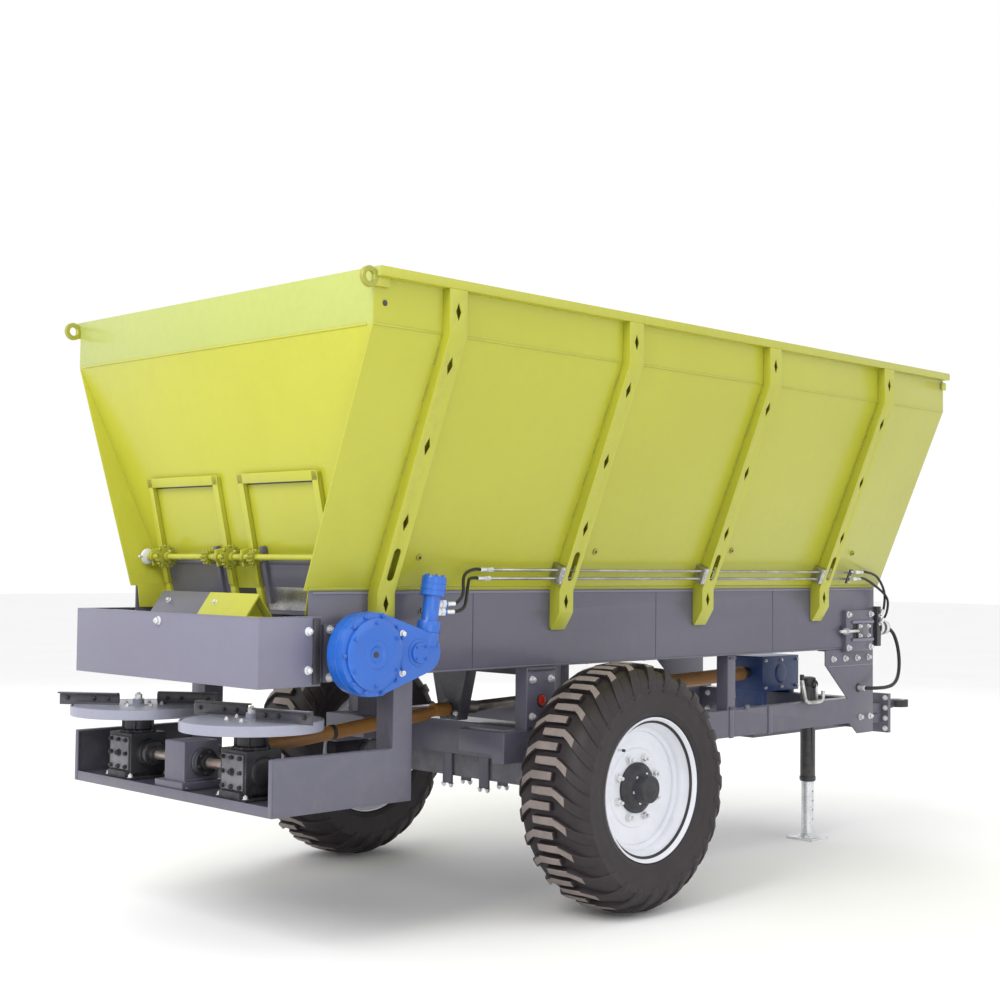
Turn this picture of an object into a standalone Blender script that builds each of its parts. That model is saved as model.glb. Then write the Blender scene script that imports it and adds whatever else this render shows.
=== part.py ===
"""Trailed manure spreader: hopper body, floor conveyor, two spinner discs, two-wheel chassis.

Metres, +Z up, +X towards the tow eye, +Y to the machine's left.  The pieces are laid out in
a body frame whose X starts at the hopper's rear top edge.  The root empty moves that frame
so that the object's origin is the middle of its base.
"""
import math

import bmesh
import bpy
from mathutils import Matrix, Vector

# ---------------------------------------------------------------- driving dimensions
GAP = 0.0003            # between touching pieces
RUN = 0.005             # clearance beside a moving piece

# hopper
HOPPER_LENGTH = 4.55
HOPPER_HALF_WIDTH = 1.115
HOPPER_TOP = 2.812
BAND_HEIGHT = 0.227     # upright band under the rim
WALL = 0.006
RIM_WIDTH = 0.045
RIM_DEPTH = 0.040
WING_SETBACK = 0.035    # how far the wing's rear edge draws in on its way down
END_SLOPE = 0.240       # run of the sloping end walls

# trough and conveyor
TROUGH_HALF_WIDTH = 0.663
TROUGH_TOP = 1.512
FOOT_CLEAR = 0.018      # below the conveyor's return run
TROUGH_REAR = 0.060
TROUGH_FRONT = 4.510
TROUGH_PLATE = 0.008
BEARING_PLATE = 0.028
CONVEYOR_Z = 1.250
SPROCKET_R = 0.072
CHAIN_THICKNESS = 0.018
CHAIN_WIDTH = 0.030
CHAIN_Y = TROUGH_HALF_WIDTH - 0.143
ARC_POINTS = 7            # points round each end of the chain
SLAT_HEIGHT = 0.022
SLAT_WIDTH = 0.045
SLATS = 9
DRIVE_X = 0.255
IDLER_X = 4.330
SHAFT_R = 0.030
FLOOR_PLATE = 0.006

# ribs
RIB_X = (0.430, 1.589, 2.722, 3.853)
RIB_WIDTH = 0.100
RIB_DEPTH = 0.060
RIB_WALL = 0.006
RIB_FOOT_Z = 1.317
DIAMOND_Z = [1.455, 1.807, 2.126, 2.456, 2.677]
DIAMOND_HALF = 0.026
RIB_SLOT_Z = 1.625
RIB_SLOT_HALF = 0.070

# gates
GATE_OPEN_IN = 0.135
GATE_OPEN_OUT = TROUGH_HALF_WIDTH - 0.073
GATE_SILL_Z = 1.400
GATE_HEAD_Z = 1.640
GATE_LAP = 0.015
GATE_PLATE = 0.008
GATE_TRAVEL = 0.280
GUIDE_WIDTH = 0.034
GUIDE_DEPTH = 0.022
GUIDE_TOP_Z = 2.020
GATE_SHAFT_R = 0.014
GATE_SHAFT_OFF = 0.072
GATE_SHAFT_Z = 1.667
RACK_Y = 0.175
PINION_R = 0.038

# apron and divider
APRON_REAR = -0.225
APRON_FRONT = 0.098
APRON_HALF_WIDTH = TROUGH_HALF_WIDTH + 0.037
APRON_BOTTOM = 1.117
APRON_TOP = 1.407
APRON_PLATE = 0.006
DIVIDER_LEFT = 0.330
DIVIDER_RIGHT = -0.400
DIVIDER_TOP = 1.495

# spreader tray, gearboxes, discs
TRAY_REAR = -0.186
TRAY_FRONT = 0.565
TRAY_HALF_WIDTH = TROUGH_HALF_WIDTH + 0.093
TRAY_BOTTOM = 0.603
TRAY_FLOOR = 0.640
TRAY_SIDE_TOP = 0.837
TRAY_PLATE = 0.008
POST = 0.110
DISC_X = -0.055
DISC_Y = 0.435
DISC_R = 0.300
DISC_TOP = 0.962
DISC_LIP = 0.036
DISC_PLATE = 0.006
BLADE_TIP_R = 0.360
BLADE_ROOT_R = 0.090
BLADE_HEIGHT = 0.058
BLADE_FLANGE = 0.030
BLADE_SWEEP = 0.55      # how far, in radians, a blade's tip trails its root
BLADE_TIP_ANGLE = {"right": math.radians(97.0), "left": math.radians(135.0)}
BLADES = 2
BOX_SIZE = 0.180
BOX_Z = 0.757
CROSS_SHAFT_R = 0.022

# conveyor drive on the right side
DRIVE_BACK_Y = -TROUGH_HALF_WIDTH - 0.097
DRIVE_FACE_Y = DRIVE_BACK_Y - 0.110
DRIVE_R = 0.176
DRIVE_NECK_X = 0.545
DRIVE_NECK_R = 0.088
MOTOR_X = 0.612
MOTOR_TOP = 1.575
MOTOR_R = 0.054
MOTOR_NECK_R = 0.037
MOTOR_LEAN = math.radians(8.0)

# chassis
RAIL_OUT = TROUGH_HALF_WIDTH - 0.003
RAIL_WIDTH = 0.080
RAIL_BOTTOM = 0.690
RAIL_TOP = 0.840
RAIL_REAR = 1.236
COLUMN_X = (1.390, 3.000)
COLUMN_LENGTH = (0.200, 0.070)
GUSSET_REAR = 3.975
GUSSET_BOTTOM = 0.621
GUSSET_PLATE = 0.010
CROSS_FRONT_X = 4.390

# axle and wheels
AXLE_X = 1.700
AXLE_BEAM = 0.120
AXLE_HALF = 0.790
SPINDLE_R = 0.040
CLAMP_Y = 0.135
TYRE_R = 0.592
TYRE_WIDTH = 0.410
TYRE_OUT = 1.212
TYRE_STEPS = 24
BEAD_R = 0.309
FLANGE_R = 0.336
RIM_HALF = 0.172
HUB_R = 0.095
AXLE_Z = TYRE_R * math.cos(math.pi / TYRE_STEPS)

# drawbar, tow eye, jack
DRAWBAR_HALF = 0.060
DRAWBAR_BOTTOM = 0.560
DRAWBAR_TOP = 0.690
DRAWBAR_FRONT = 5.630
HITCH_PLATE = 0.026
HITCH_HALF = 0.110
HITCH_BOTTOM = 0.490
HITCH_TOP = 0.760
EYE_X = 5.930
EYE_Z = 0.672
EYE_R = 0.078
EYE_HOLE_R = 0.035
EYE_THICK = 0.050
JACK_X = 4.030
JACK_Y = 0.160 - RAIL_OUT
JACK_TUBE_R = 0.045
JACK_TUBE_BOTTOM = 0.345
JACK_TUBE_TOP = 0.960
JACK_LEG_R = 0.037
JACK_LEG_TOP = 0.600
JACK_FOOT = 0.180
JACK_FOOT_PLATE = 0.014

# driveline
FRONT_BOX_REAR = 4.100
FRONT_BOX_FRONT = 4.500
FRONT_BOX_HALF = 0.120
FRONT_BOX_Z = 0.965
PTO_R = 0.0175
PTO_END = 4.640
HANGER_X = 1.540
HANGER_Z = 0.890
GUARD_R = 0.042
REAR_GUARD_R = 0.035
YOKE_R = 0.034

# hydraulic lines
PIPE_R = 0.007
PIPE_Z = (1.607, 1.567)
PIPE_OFF = 0.045
PIPE_REAR = 1.020
PIPE_FRONT = 4.200
HOSE_GAP = 0.0008
HOSE_R = 0.0075
SUPPLY_R = 0.011

# ---------------------------------------------------------------- derived places
FOLD_Z = HOPPER_TOP - BAND_HEIGHT
TROUGH_BOTTOM = CONVEYOR_Z - SPROCKET_R - CHAIN_THICKNESS - FOOT_CLEAR
SIDE_RUN = (HOPPER_HALF_WIDTH - TROUGH_HALF_WIDTH) / (FOLD_Z - TROUGH_TOP)
END_RUN = END_SLOPE / (FOLD_Z - TROUGH_TOP)
WHEEL_Y = TYRE_OUT - TYRE_WIDTH / 2
CHAIN_OUT_R = SPROCKET_R + CHAIN_THICKNESS
CARRY_Z = CONVEYOR_Z + CHAIN_OUT_R
FLOOR_TOP = CONVEYOR_Z + SPROCKET_R - GAP
BOX_BOTTOM = BOX_Z - BOX_SIZE / 2
REAR_END = DISC_X - DISC_R
FRONT_END = EYE_X + EYE_R
ORIGIN_X = (REAR_END + FRONT_END) / 2


def side_y(z):
    """Outer face of the sloping side wall at height z, measured from the middle."""
    return TROUGH_HALF_WIDTH + (z - TROUGH_TOP) * SIDE_RUN


def rear_x(z):
    """Outer face of the sloping rear wall at height z."""
    return (FOLD_Z - z) * END_RUN


# ---------------------------------------------------------------- scene and materials
for old in list(bpy.data.objects):
    bpy.data.objects.remove(old, do_unlink=True)

parts = bpy.data.collections.new("manure_spreader")
cutters = bpy.data.collections.new("cutters")
for group in (parts, cutters):
    bpy.context.scene.collection.children.link(group)

root = bpy.data.objects.new("root", None)
root.location = (-ORIGIN_X, 0.0, 0.0)
parts.objects.link(root)


def material(name, colour, rough, metal=0.0):
    """A plain Principled material."""
    made = bpy.data.materials.new(name)
    made.use_nodes = True
    shader = made.node_tree.nodes["Principled BSDF"]
    shader.inputs["Base Color"].default_value = (*colour, 1.0)
    shader.inputs["Roughness"].default_value = rough
    shader.inputs["Metallic"].default_value = metal
    return made


GREEN = material("green_paint", (0.50, 0.62, 0.01), 0.40)
GREY = material("grey_paint", (0.15, 0.15, 0.20), 0.50)
DARK = material("dark_paint", (0.05, 0.05, 0.06), 0.50)
BLUE = material("blue_paint", (0.03, 0.23, 0.70), 0.35)
WHITE = material("white_paint", (0.80, 0.82, 0.85), 0.35)
TYRE = material("tyre_rubber", (0.03, 0.026, 0.026), 0.85)
CAST = material("cast_iron", (0.06, 0.06, 0.07), 0.60)
STEEL = material("bare_steel", (0.45, 0.44, 0.43), 0.35, 1.0)
DISC = material("disc_paint", (0.42, 0.43, 0.48), 0.40)
GUARD = material("guard_plastic", (0.60, 0.33, 0.03), 0.50)
HOSE = material("hose_rubber", (0.02, 0.02, 0.02), 0.60)


# ---------------------------------------------------------------- makers
def place(obj, parent=None, cutter=False):
    """Put an object in its collection and under its parent."""
    (cutters if cutter else parts).objects.link(obj)
    obj.parent = parent or root
    if cutter:
        obj.hide_render = True
        obj.display_type = "WIRE"
    return obj


def finish(obj, mat, smooth=False):
    """Give a mesh object its material and shading."""
    obj.data.materials.clear()
    obj.data.materials.append(mat)
    if smooth:
        obj.data.shade_smooth()
        obj.data.set_sharp_from_angle(angle=math.radians(35.0))
    return obj


def box(name, low, high, mat, parent=None, cutter=False):
    """A box between two corners."""
    low = Vector(low)
    high = Vector(high)
    mesh = bpy.data.meshes.new(name)
    work = bmesh.new()
    bmesh.ops.create_cube(work, size=1.0)
    bmesh.ops.scale(work, vec=high - low, verts=work.verts)
    work.to_mesh(mesh)
    work.free()
    obj = bpy.data.objects.new(name, mesh)
    obj.location = (low + high) / 2
    return finish(place(obj, parent, cutter), mat)


def turn_to(axis):
    """Rotation that takes local Z to an axis."""
    return Vector((0.0, 0.0, 1.0)).rotation_difference(Vector(axis)).to_euler()


def rod(name, start, end, radius, mat, sides=24, parent=None, cutter=False, tip=None):
    """A round bar or a cone between two points."""
    start = Vector(start)
    end = Vector(end)
    mesh = bpy.data.meshes.new(name)
    work = bmesh.new()
    bmesh.ops.create_cone(work, cap_ends=True, segments=sides, radius1=radius,
                          radius2=radius if tip is None else tip, depth=(end - start).length)
    work.to_mesh(mesh)
    work.free()
    obj = bpy.data.objects.new(name, mesh)
    obj.location = (start + end) / 2
    obj.rotation_euler = turn_to(end - start)
    return finish(place(obj, parent, cutter), mat, smooth=True)


def meshed(obj, mat, smooth=False):
    """Turn a curve object into a welded mesh object in the same place."""
    view = bpy.context.evaluated_depsgraph_get()
    mesh = bpy.data.meshes.new_from_object(obj.evaluated_get(view))
    work = bmesh.new()
    work.from_mesh(mesh)
    bmesh.ops.remove_doubles(work, verts=work.verts, dist=0.00005)
    bmesh.ops.recalc_face_normals(work, faces=work.faces)
    work.to_mesh(mesh)
    work.free()
    name = obj.name
    made = bpy.data.objects.new(name, mesh)
    for holder in obj.users_collection:
        holder.objects.link(made)
    made.parent = obj.parent
    made.location = obj.location
    made.rotation_euler = obj.rotation_euler
    made.hide_render = obj.hide_render
    made.display_type = obj.display_type
    bpy.data.objects.remove(obj, do_unlink=True)
    made.name = name
    return finish(made, mat, smooth)


# The outline's plane and the axis that it is extruded along.
TURNS = {
    "X": Matrix(((0, 0, 1), (1, 0, 0), (0, 1, 0))),     # outline (y, z)
    "Y": Matrix(((1, 0, 0), (0, 0, -1), (0, 1, 0))),    # outline (x, z)
    "Z": Matrix.Identity(3),                            # outline (x, y)
}


def plate(name, axis, outlines, low, high, mat, parent=None, cutter=False, smooth=False):
    """A flat outline, with any holes after it, extruded along an axis from low to high."""
    curve = bpy.data.curves.new(name, "CURVE")
    curve.dimensions = "2D"
    curve.fill_mode = "BOTH"
    curve.extrude = (high - low) / 2
    for outline in outlines:
        spline = curve.splines.new("POLY")
        spline.points.add(len(outline) - 1)
        for point, (across, up) in zip(spline.points, outline):
            point.co = (across, up, 0.0, 1.0)
        spline.use_cyclic_u = True
    obj = bpy.data.objects.new(name, curve)
    middle = (low + high) / 2
    obj.location = {"X": (middle, 0, 0), "Y": (0, middle, 0), "Z": (0, 0, middle)}[axis]
    obj.rotation_euler = TURNS[axis].to_euler()
    place(obj, parent, cutter)
    bpy.context.view_layer.update()
    return meshed(obj, mat, smooth)


def tube(name, points, radius, mat, rounds=2, parent=None, cutter=False):
    """A round tube through points, with closed ends."""
    curve = bpy.data.curves.new(name, "CURVE")
    curve.dimensions = "3D"
    curve.bevel_depth = radius
    curve.bevel_resolution = rounds
    curve.use_fill_caps = True
    spline = curve.splines.new("POLY")
    spline.points.add(len(points) - 1)
    for point, spot in zip(spline.points, points):
        point.co = (*spot, 1.0)
    obj = bpy.data.objects.new(name, curve)
    place(obj, parent, cutter)
    bpy.context.view_layer.update()
    return meshed(obj, mat, smooth=True)


def turned(name, profile, centre, axis, mat, steps=32, closed=True, parent=None, cutter=False,
           phase=0.0):
    """A profile of (radius, height) turned about an axis through centre."""
    mesh = bpy.data.meshes.new(name)
    edges = [(i, i + 1) for i in range(len(profile) - 1)]
    if closed:
        edges.append((len(profile) - 1, 0))
    turn = Matrix.Rotation(phase, 3, "Z")
    mesh.from_pydata([turn @ Vector((r, 0.0, h)) for r, h in profile], edges, [])
    obj = bpy.data.objects.new(name, mesh)
    obj.location = centre
    obj.rotation_euler = turn_to(axis)
    place(obj, parent, cutter)
    screw = obj.modifiers.new("turn", "SCREW")
    screw.axis = "Z"
    screw.steps = steps
    screw.render_steps = steps
    screw.use_merge_vertices = True
    screw.merge_threshold = 0.0001
    obj.data.materials.append(mat)
    return obj


def combine(obj, others, how="UNION"):
    """Join other objects to this one, or cut them from it."""
    for other in others:
        step = obj.modifiers.new(how.lower(), "BOOLEAN")
        step.operation = how
        step.solver = "EXACT"
        step.object = other
    return obj


def smooth_route(points, spacing):
    """Points at an even spacing along a Catmull-Rom curve through the given ones."""
    spots = [Vector(p) for p in points]
    ends = [spots[0] * 2 - spots[1]] + spots + [spots[-1] * 2 - spots[-2]]
    fine = []
    for a, b, c, d in zip(ends, ends[1:], ends[2:], ends[3:]):
        for k in range(24):
            t = k / 24
            fine.append(0.5 * (2 * b + (c - a) * t + (2 * a - 5 * b + 4 * c - d) * t ** 2
                               + (3 * b - a - 3 * c + d) * t ** 3))
    fine.append(spots[-1])
    lengths = [0.0]
    for a, b in zip(fine, fine[1:]):
        lengths.append(lengths[-1] + (b - a).length)
    count = max(4, round(lengths[-1] / spacing))
    route = []
    k = 0
    for i in range(count + 1):
        want = lengths[-1] * i / count
        while k < len(fine) - 2 and lengths[k + 1] < want:
            k += 1
        span = lengths[k + 1] - lengths[k]
        share = (want - lengths[k]) / span if span else 0.0
        route.append(fine[k].lerp(fine[k + 1], min(1.0, share)))
    return route


def hose(name, points, radius, leave, arrive):
    """A hose along a smooth route, with a short straight stub square to each end."""
    stub = radius * 1.6
    route = smooth_route(points, radius * 4.5)
    first = route[0] + Vector(leave).normalized() * stub
    last = route[-1] - Vector(arrive).normalized() * stub
    return tube(name, [route[0], first] + route[1:-1] + [last, route[-1]], radius, HOSE)


# ---------------------------------------------------------------- hopper
def hopper_sides():
    """Folded side walls: an upright band with a rolled rim over a wall sloping in."""
    w = HOPPER_HALF_WIDTH
    foot = TROUGH_HALF_WIDTH
    for side, sign in (("right", -1), ("left", 1)):
        section = [
            (w, FOLD_Z), (w, HOPPER_TOP - RIM_DEPTH), (w + RIM_WIDTH, HOPPER_TOP - RIM_DEPTH),
            (w + RIM_WIDTH, HOPPER_TOP), (w - WALL, HOPPER_TOP), (w - WALL, FOLD_Z),
            (foot - WALL, TROUGH_TOP + GAP), (foot, TROUGH_TOP + GAP),
        ]
        wall = plate(f"hopper_side_{side}", "X", [[(sign * y, z) for y, z in section]],
                     0.0, HOPPER_LENGTH, GREEN)
        taper = [(-0.1, TROUGH_TOP - 0.1), (WING_SETBACK, TROUGH_TOP - 0.1), (0.0, FOLD_Z - 0.02),
                 (-0.1, FOLD_Z - 0.02)]
        low, high = sorted((sign * 0.4, sign * 1.3))
        notch = plate(f"wing_notch_{side}", "Y", [taper], low, high, GREEN, cutter=True)
        combine(wall, [notch], "DIFFERENCE")


def end_wall(name, face, lean, openings):
    """A folded end wall, trimmed to fit between the side walls."""
    top = [(face, HOPPER_TOP), (face, FOLD_Z), (face + lean * END_SLOPE, TROUGH_TOP + GAP)]
    inner = [(x + lean * WALL, z) for x, z in reversed(top)]
    wall = plate(name, "Y", [top + inner], -HOPPER_HALF_WIDTH, HOPPER_HALF_WIDTH, GREEN)
    half = HOPPER_HALF_WIDTH - WALL - GAP
    foot = TROUGH_HALF_WIDTH - WALL - GAP
    inside = [(-half, HOPPER_TOP + 0.1), (half, HOPPER_TOP + 0.1), (half, FOLD_Z),
              (foot, TROUGH_TOP), (-foot, TROUGH_TOP), (-half, FOLD_Z)]
    low, high = sorted((face - lean * 0.1, face + lean * (END_SLOPE + 0.1)))
    combine(wall, [plate(name + "_trim", "X", [inside], low, high, GREEN, cutter=True)], "INTERSECT")
    return combine(wall, openings, "DIFFERENCE")


def gate_openings():
    """Cutters for the two outlets in the rear wall."""
    made = []
    for side, sign in (("right", -1), ("left", 1)):
        low, high = sorted((sign * GATE_OPEN_IN, sign * GATE_OPEN_OUT))
        made.append(box(f"outlet_{side}", (-0.1, low, TROUGH_TOP - 0.1),
                        (0.5, high, GATE_HEAD_Z), GREEN, cutter=True))
    return made


def rib_outline():
    """Side view of a rib in (outwards, up), from the wall's face to the rib's outer face."""
    lean = math.atan(SIDE_RUN)
    out = RIB_DEPTH / math.cos(lean)
    top = HOPPER_TOP - RIM_DEPTH - GAP
    wall = TROUGH_HALF_WIDTH + GAP
    slope_out = HOPPER_HALF_WIDTH + GAP
    cap = HOPPER_HALF_WIDTH + RIM_WIDTH
    return [(slope_out, top), (cap, top), (cap, FOLD_Z - RIB_WALL), (wall + out, TROUGH_TOP - RIB_WALL),
            (wall + out, RIB_FOOT_Z + 0.085), (wall + 0.012, RIB_FOOT_Z), (wall, RIB_FOOT_Z + 0.012),
            (wall, TROUGH_TOP), (slope_out, FOLD_Z)]


def ribs():
    """Pressed channel ribs outside both side walls, with diamond holes in the outer face."""
    outline = rib_outline()
    lean = math.atan(SIDE_RUN)
    for side, sign in (("right", -1), ("left", 1)):
        for number, x in enumerate(RIB_X, 1):
            rib = plate(f"rib_{side}_{number}", "X", [[(sign * y, z) for y, z in outline]],
                        x - RIB_WIDTH / 2, x + RIB_WIDTH / 2, GREEN)
            skin = RIB_WALL / math.cos(lean)
            hollow = [(y - skin, z) for y, z in outline[1:5]]
            hollow[0] = (hollow[0][0], HOPPER_TOP)
            hollow.append((TROUGH_HALF_WIDTH - skin, RIB_FOOT_Z - 0.03))
            back = [(TROUGH_HALF_WIDTH - 0.10, RIB_FOOT_Z - 0.03), (TROUGH_HALF_WIDTH - 0.10, TROUGH_TOP),
                    (HOPPER_HALF_WIDTH - 0.10, FOLD_Z), (HOPPER_HALF_WIDTH - 0.10, HOPPER_TOP)]
            core = plate(f"rib_{side}_{number}_core", "X",
                         [[(sign * y, z) for y, z in hollow + back]],
                         x - RIB_WIDTH / 2 + RIB_WALL, x + RIB_WIDTH / 2 - RIB_WALL, GREEN, cutter=True)
            holes = []
            for k, z in enumerate(DIAMOND_Z):
                mid = sign * min(max(side_y(z), TROUGH_HALF_WIDTH) + RIB_DEPTH, HOPPER_HALF_WIDTH + RIM_WIDTH)
                shape = [(x - DIAMOND_HALF * 0.6, z), (x, z - DIAMOND_HALF * 1.5),
                         (x + DIAMOND_HALF * 0.6, z), (x, z + DIAMOND_HALF * 1.5)]
                low, high = sorted((mid - sign * 0.028, mid + sign * 0.04))
                holes.append(plate(f"rib_{side}_{number}_hole_{k}", "Y", [shape], low, high,
                                   GREEN, cutter=True))
            arc = [math.radians(15 + 30 * k) for k in range(6)]
            oval = [(x + 0.020 * math.cos(a), RIB_SLOT_Z + RIB_SLOT_HALF - 0.020 + 0.020 * math.sin(a)) for a in arc]
            oval += [(x - 0.020 * math.cos(a), RIB_SLOT_Z - RIB_SLOT_HALF + 0.020 - 0.020 * math.sin(a)) for a in arc]
            mid = sign * (side_y(RIB_SLOT_Z) + RIB_DEPTH)
            low, high = sorted((mid - sign * 0.032, mid + sign * 0.07))
            holes.append(plate(f"rib_{side}_{number}_oval", "Y", [oval], low, high, GREEN, cutter=True))
            combine(rib, [core] + holes, "DIFFERENCE")


# ---------------------------------------------------------------- gates
SLOPE_UP = Vector((-END_SLOPE, 0.0, FOLD_Z - TROUGH_TOP)).normalized()
SLOPE_OUT = Vector((-SLOPE_UP.z, 0.0, SLOPE_UP.x))


def on_slope(y, z, off):
    """A point over the rear wall's outer face: y, height on the face, distance off the face."""
    return Vector((rear_x(z), y, z)) + SLOPE_OUT * off


def slope_box(name, y_low, y_high, z_low, z_high, off_low, off_high, mat, cutter=False):
    """A box that lies on the rear wall's slope."""
    length = (z_high - z_low) / SLOPE_UP.z
    mesh = bpy.data.meshes.new(name)
    work = bmesh.new()
    bmesh.ops.create_cube(work, size=1.0)
    bmesh.ops.scale(work, vec=(off_high - off_low, y_high - y_low, length), verts=work.verts)
    work.to_mesh(mesh)
    work.free()
    obj = bpy.data.objects.new(name, mesh)
    obj.location = on_slope((y_low + y_high) / 2, (z_low + z_high) / 2, (off_low + off_high) / 2)
    obj.rotation_euler = (0.0, -math.atan2(END_SLOPE, FOLD_Z - TROUGH_TOP), 0.0)
    return finish(place(obj, None, cutter), mat)


def gates():
    """Sliding gates in their guide frames, lifted by racks under one cross shaft."""
    inner = GATE_OPEN_IN - GATE_LAP
    outer = GATE_OPEN_OUT + GATE_LAP
    for side, sign in (("right", -1), ("left", 1)):
        legs = []
        for y_in in (inner - RUN - GUIDE_WIDTH, outer + RUN):
            low, high = sorted((sign * y_in, sign * (y_in + GUIDE_WIDTH)))
            legs.append(slope_box(f"guide_{side}_{len(legs)}", low, high, TROUGH_TOP + 0.004,
                                  GUIDE_TOP_Z, GAP, GAP + GUIDE_DEPTH, GREEN, cutter=True))
        low, high = sorted((sign * (inner - RUN - GUIDE_WIDTH), sign * (outer + RUN + GUIDE_WIDTH)))
        head = slope_box(f"gate_guide_{side}", low, high, GUIDE_TOP_Z - GUIDE_WIDTH, GUIDE_TOP_Z,
                         GAP, GAP + GUIDE_DEPTH, GREEN)
        combine(head, legs)
        low, high = sorted((sign * inner, sign * outer))
        gate = slope_box(f"gate_{side}", low, high, GATE_SILL_Z, GATE_HEAD_Z + GATE_LAP,
                         GAP, GAP + GATE_PLATE, GREY)
        rack_off = GATE_SHAFT_OFF - PINION_R - RUN
        rack = slope_box(f"gate_rack_{side}", sign * RACK_Y - 0.012, sign * RACK_Y + 0.012,
                         GATE_SILL_Z + 0.05, GATE_HEAD_Z + GATE_LAP + 0.050,
                         GAP + GATE_PLATE - 0.002, rack_off, GREY, cutter=True)
        combine(gate, [rack])


def gate_shaft():
    """The cross shaft over the gates with its pinions, star wheels and brackets."""
    axis = on_slope(0.0, GATE_SHAFT_Z, GATE_SHAFT_OFF)
    end = side_y(axis.z - GATE_SHAFT_R) - WALL - GAP

    def along(y):
        return (axis.x, y, axis.z)

    shaft = rod("gate_shaft", along(-end), along(end), GATE_SHAFT_R, GREEN, 10)
    extras = []
    for sign in (-1, 1):
        extras.append(rod(f"pinion_{sign}", along(sign * RACK_Y - 0.015), along(sign * RACK_Y + 0.015),
                          PINION_R, GREEN, 12, cutter=True))
        for y in (GATE_OPEN_IN - GATE_LAP - RUN - GUIDE_WIDTH / 2,
                  GATE_OPEN_OUT + GATE_LAP + RUN + GUIDE_WIDTH / 2):
            extras.append(slope_box(f"shaft_bracket_{sign}_{y:.2f}", sign * y - 0.005, sign * y + 0.005,
                                    GATE_SHAFT_Z - 0.035, GATE_SHAFT_Z + 0.035,
                                    GUIDE_DEPTH + 2 * GAP, GATE_SHAFT_OFF + 0.008, GREEN, cutter=True))
    for y in (0.0, 0.520):
        extras.append(rod(f"star_wheel_{y:.1f}", along(y - 0.008), along(y + 0.008), 0.058, GREEN, 12,
                          cutter=True))
    combine(shaft, extras)


# ---------------------------------------------------------------- trough and conveyor
def trough():
    """Upright trough sides with their bearing plates, and the floor plate between them."""
    for side, sign in (("right", -1), ("left", 1)):
        low, high = sorted((sign * TROUGH_HALF_WIDTH, sign * (TROUGH_HALF_WIDTH - TROUGH_PLATE)))
        side_plate = box(f"trough_side_{side}", (TROUGH_REAR, low, TROUGH_BOTTOM),
                         (TROUGH_FRONT, high, TROUGH_TOP), GREY)
        foot_low, foot_high = sorted((sign * TROUGH_HALF_WIDTH, sign * (TROUGH_HALF_WIDTH - 0.055)))
        foot = box(f"trough_foot_{side}", (TROUGH_REAR + 0.30, foot_low, TROUGH_BOTTOM),
                   (TROUGH_FRONT, foot_high, TROUGH_BOTTOM + TROUGH_PLATE), GREY, cutter=True)
        joined = [foot]
        holes = []
        for label, x, length, height in (("drive", DRIVE_X, 0.26, 0.24), ("idler", IDLER_X, 0.30, 0.25)):
            middle = x - 0.005 if label == "drive" else x - 0.03
            y_low, y_high = sorted((sign * (TROUGH_HALF_WIDTH - 0.002),
                                    sign * (TROUGH_HALF_WIDTH + BEARING_PLATE)))
            joined.append(box(f"{label}_bearing_{side}",
                              (middle - length / 2, y_low, CONVEYOR_Z - height / 2),
                              (middle + length / 2, y_high, CONVEYOR_Z + height / 2), GREY, cutter=True))
            holes.append(rod(f"bearing_hole_{label}_{side}",
                             (x, sign * (TROUGH_HALF_WIDTH - 0.1), CONVEYOR_Z),
                             (x, sign * (TROUGH_HALF_WIDTH + 0.1),
                              CONVEYOR_Z), SHAFT_R + GAP * 2, GREY, 16,
                             cutter=True))
        combine(side_plate, joined)
        combine(side_plate, holes, "DIFFERENCE")
    inner = TROUGH_HALF_WIDTH - TROUGH_PLATE - GAP
    floor = box("trough_floor", (DRIVE_X + 0.10, -inner, FLOOR_TOP - FLOOR_PLATE),
                (IDLER_X - 0.10, inner, FLOOR_TOP), GREY)
    bearers = []
    for k in range(4):
        x = DRIVE_X + 0.35 + k * (IDLER_X - DRIVE_X - 0.70) / 3
        bearers.append(box(f"floor_bearer_{k}", (x - 0.03, -inner, FLOOR_TOP - FLOOR_PLATE - 0.050),
                           (x + 0.03, inner, FLOOR_TOP - 0.001), GREY, cutter=True))
    combine(floor, bearers)


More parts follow.
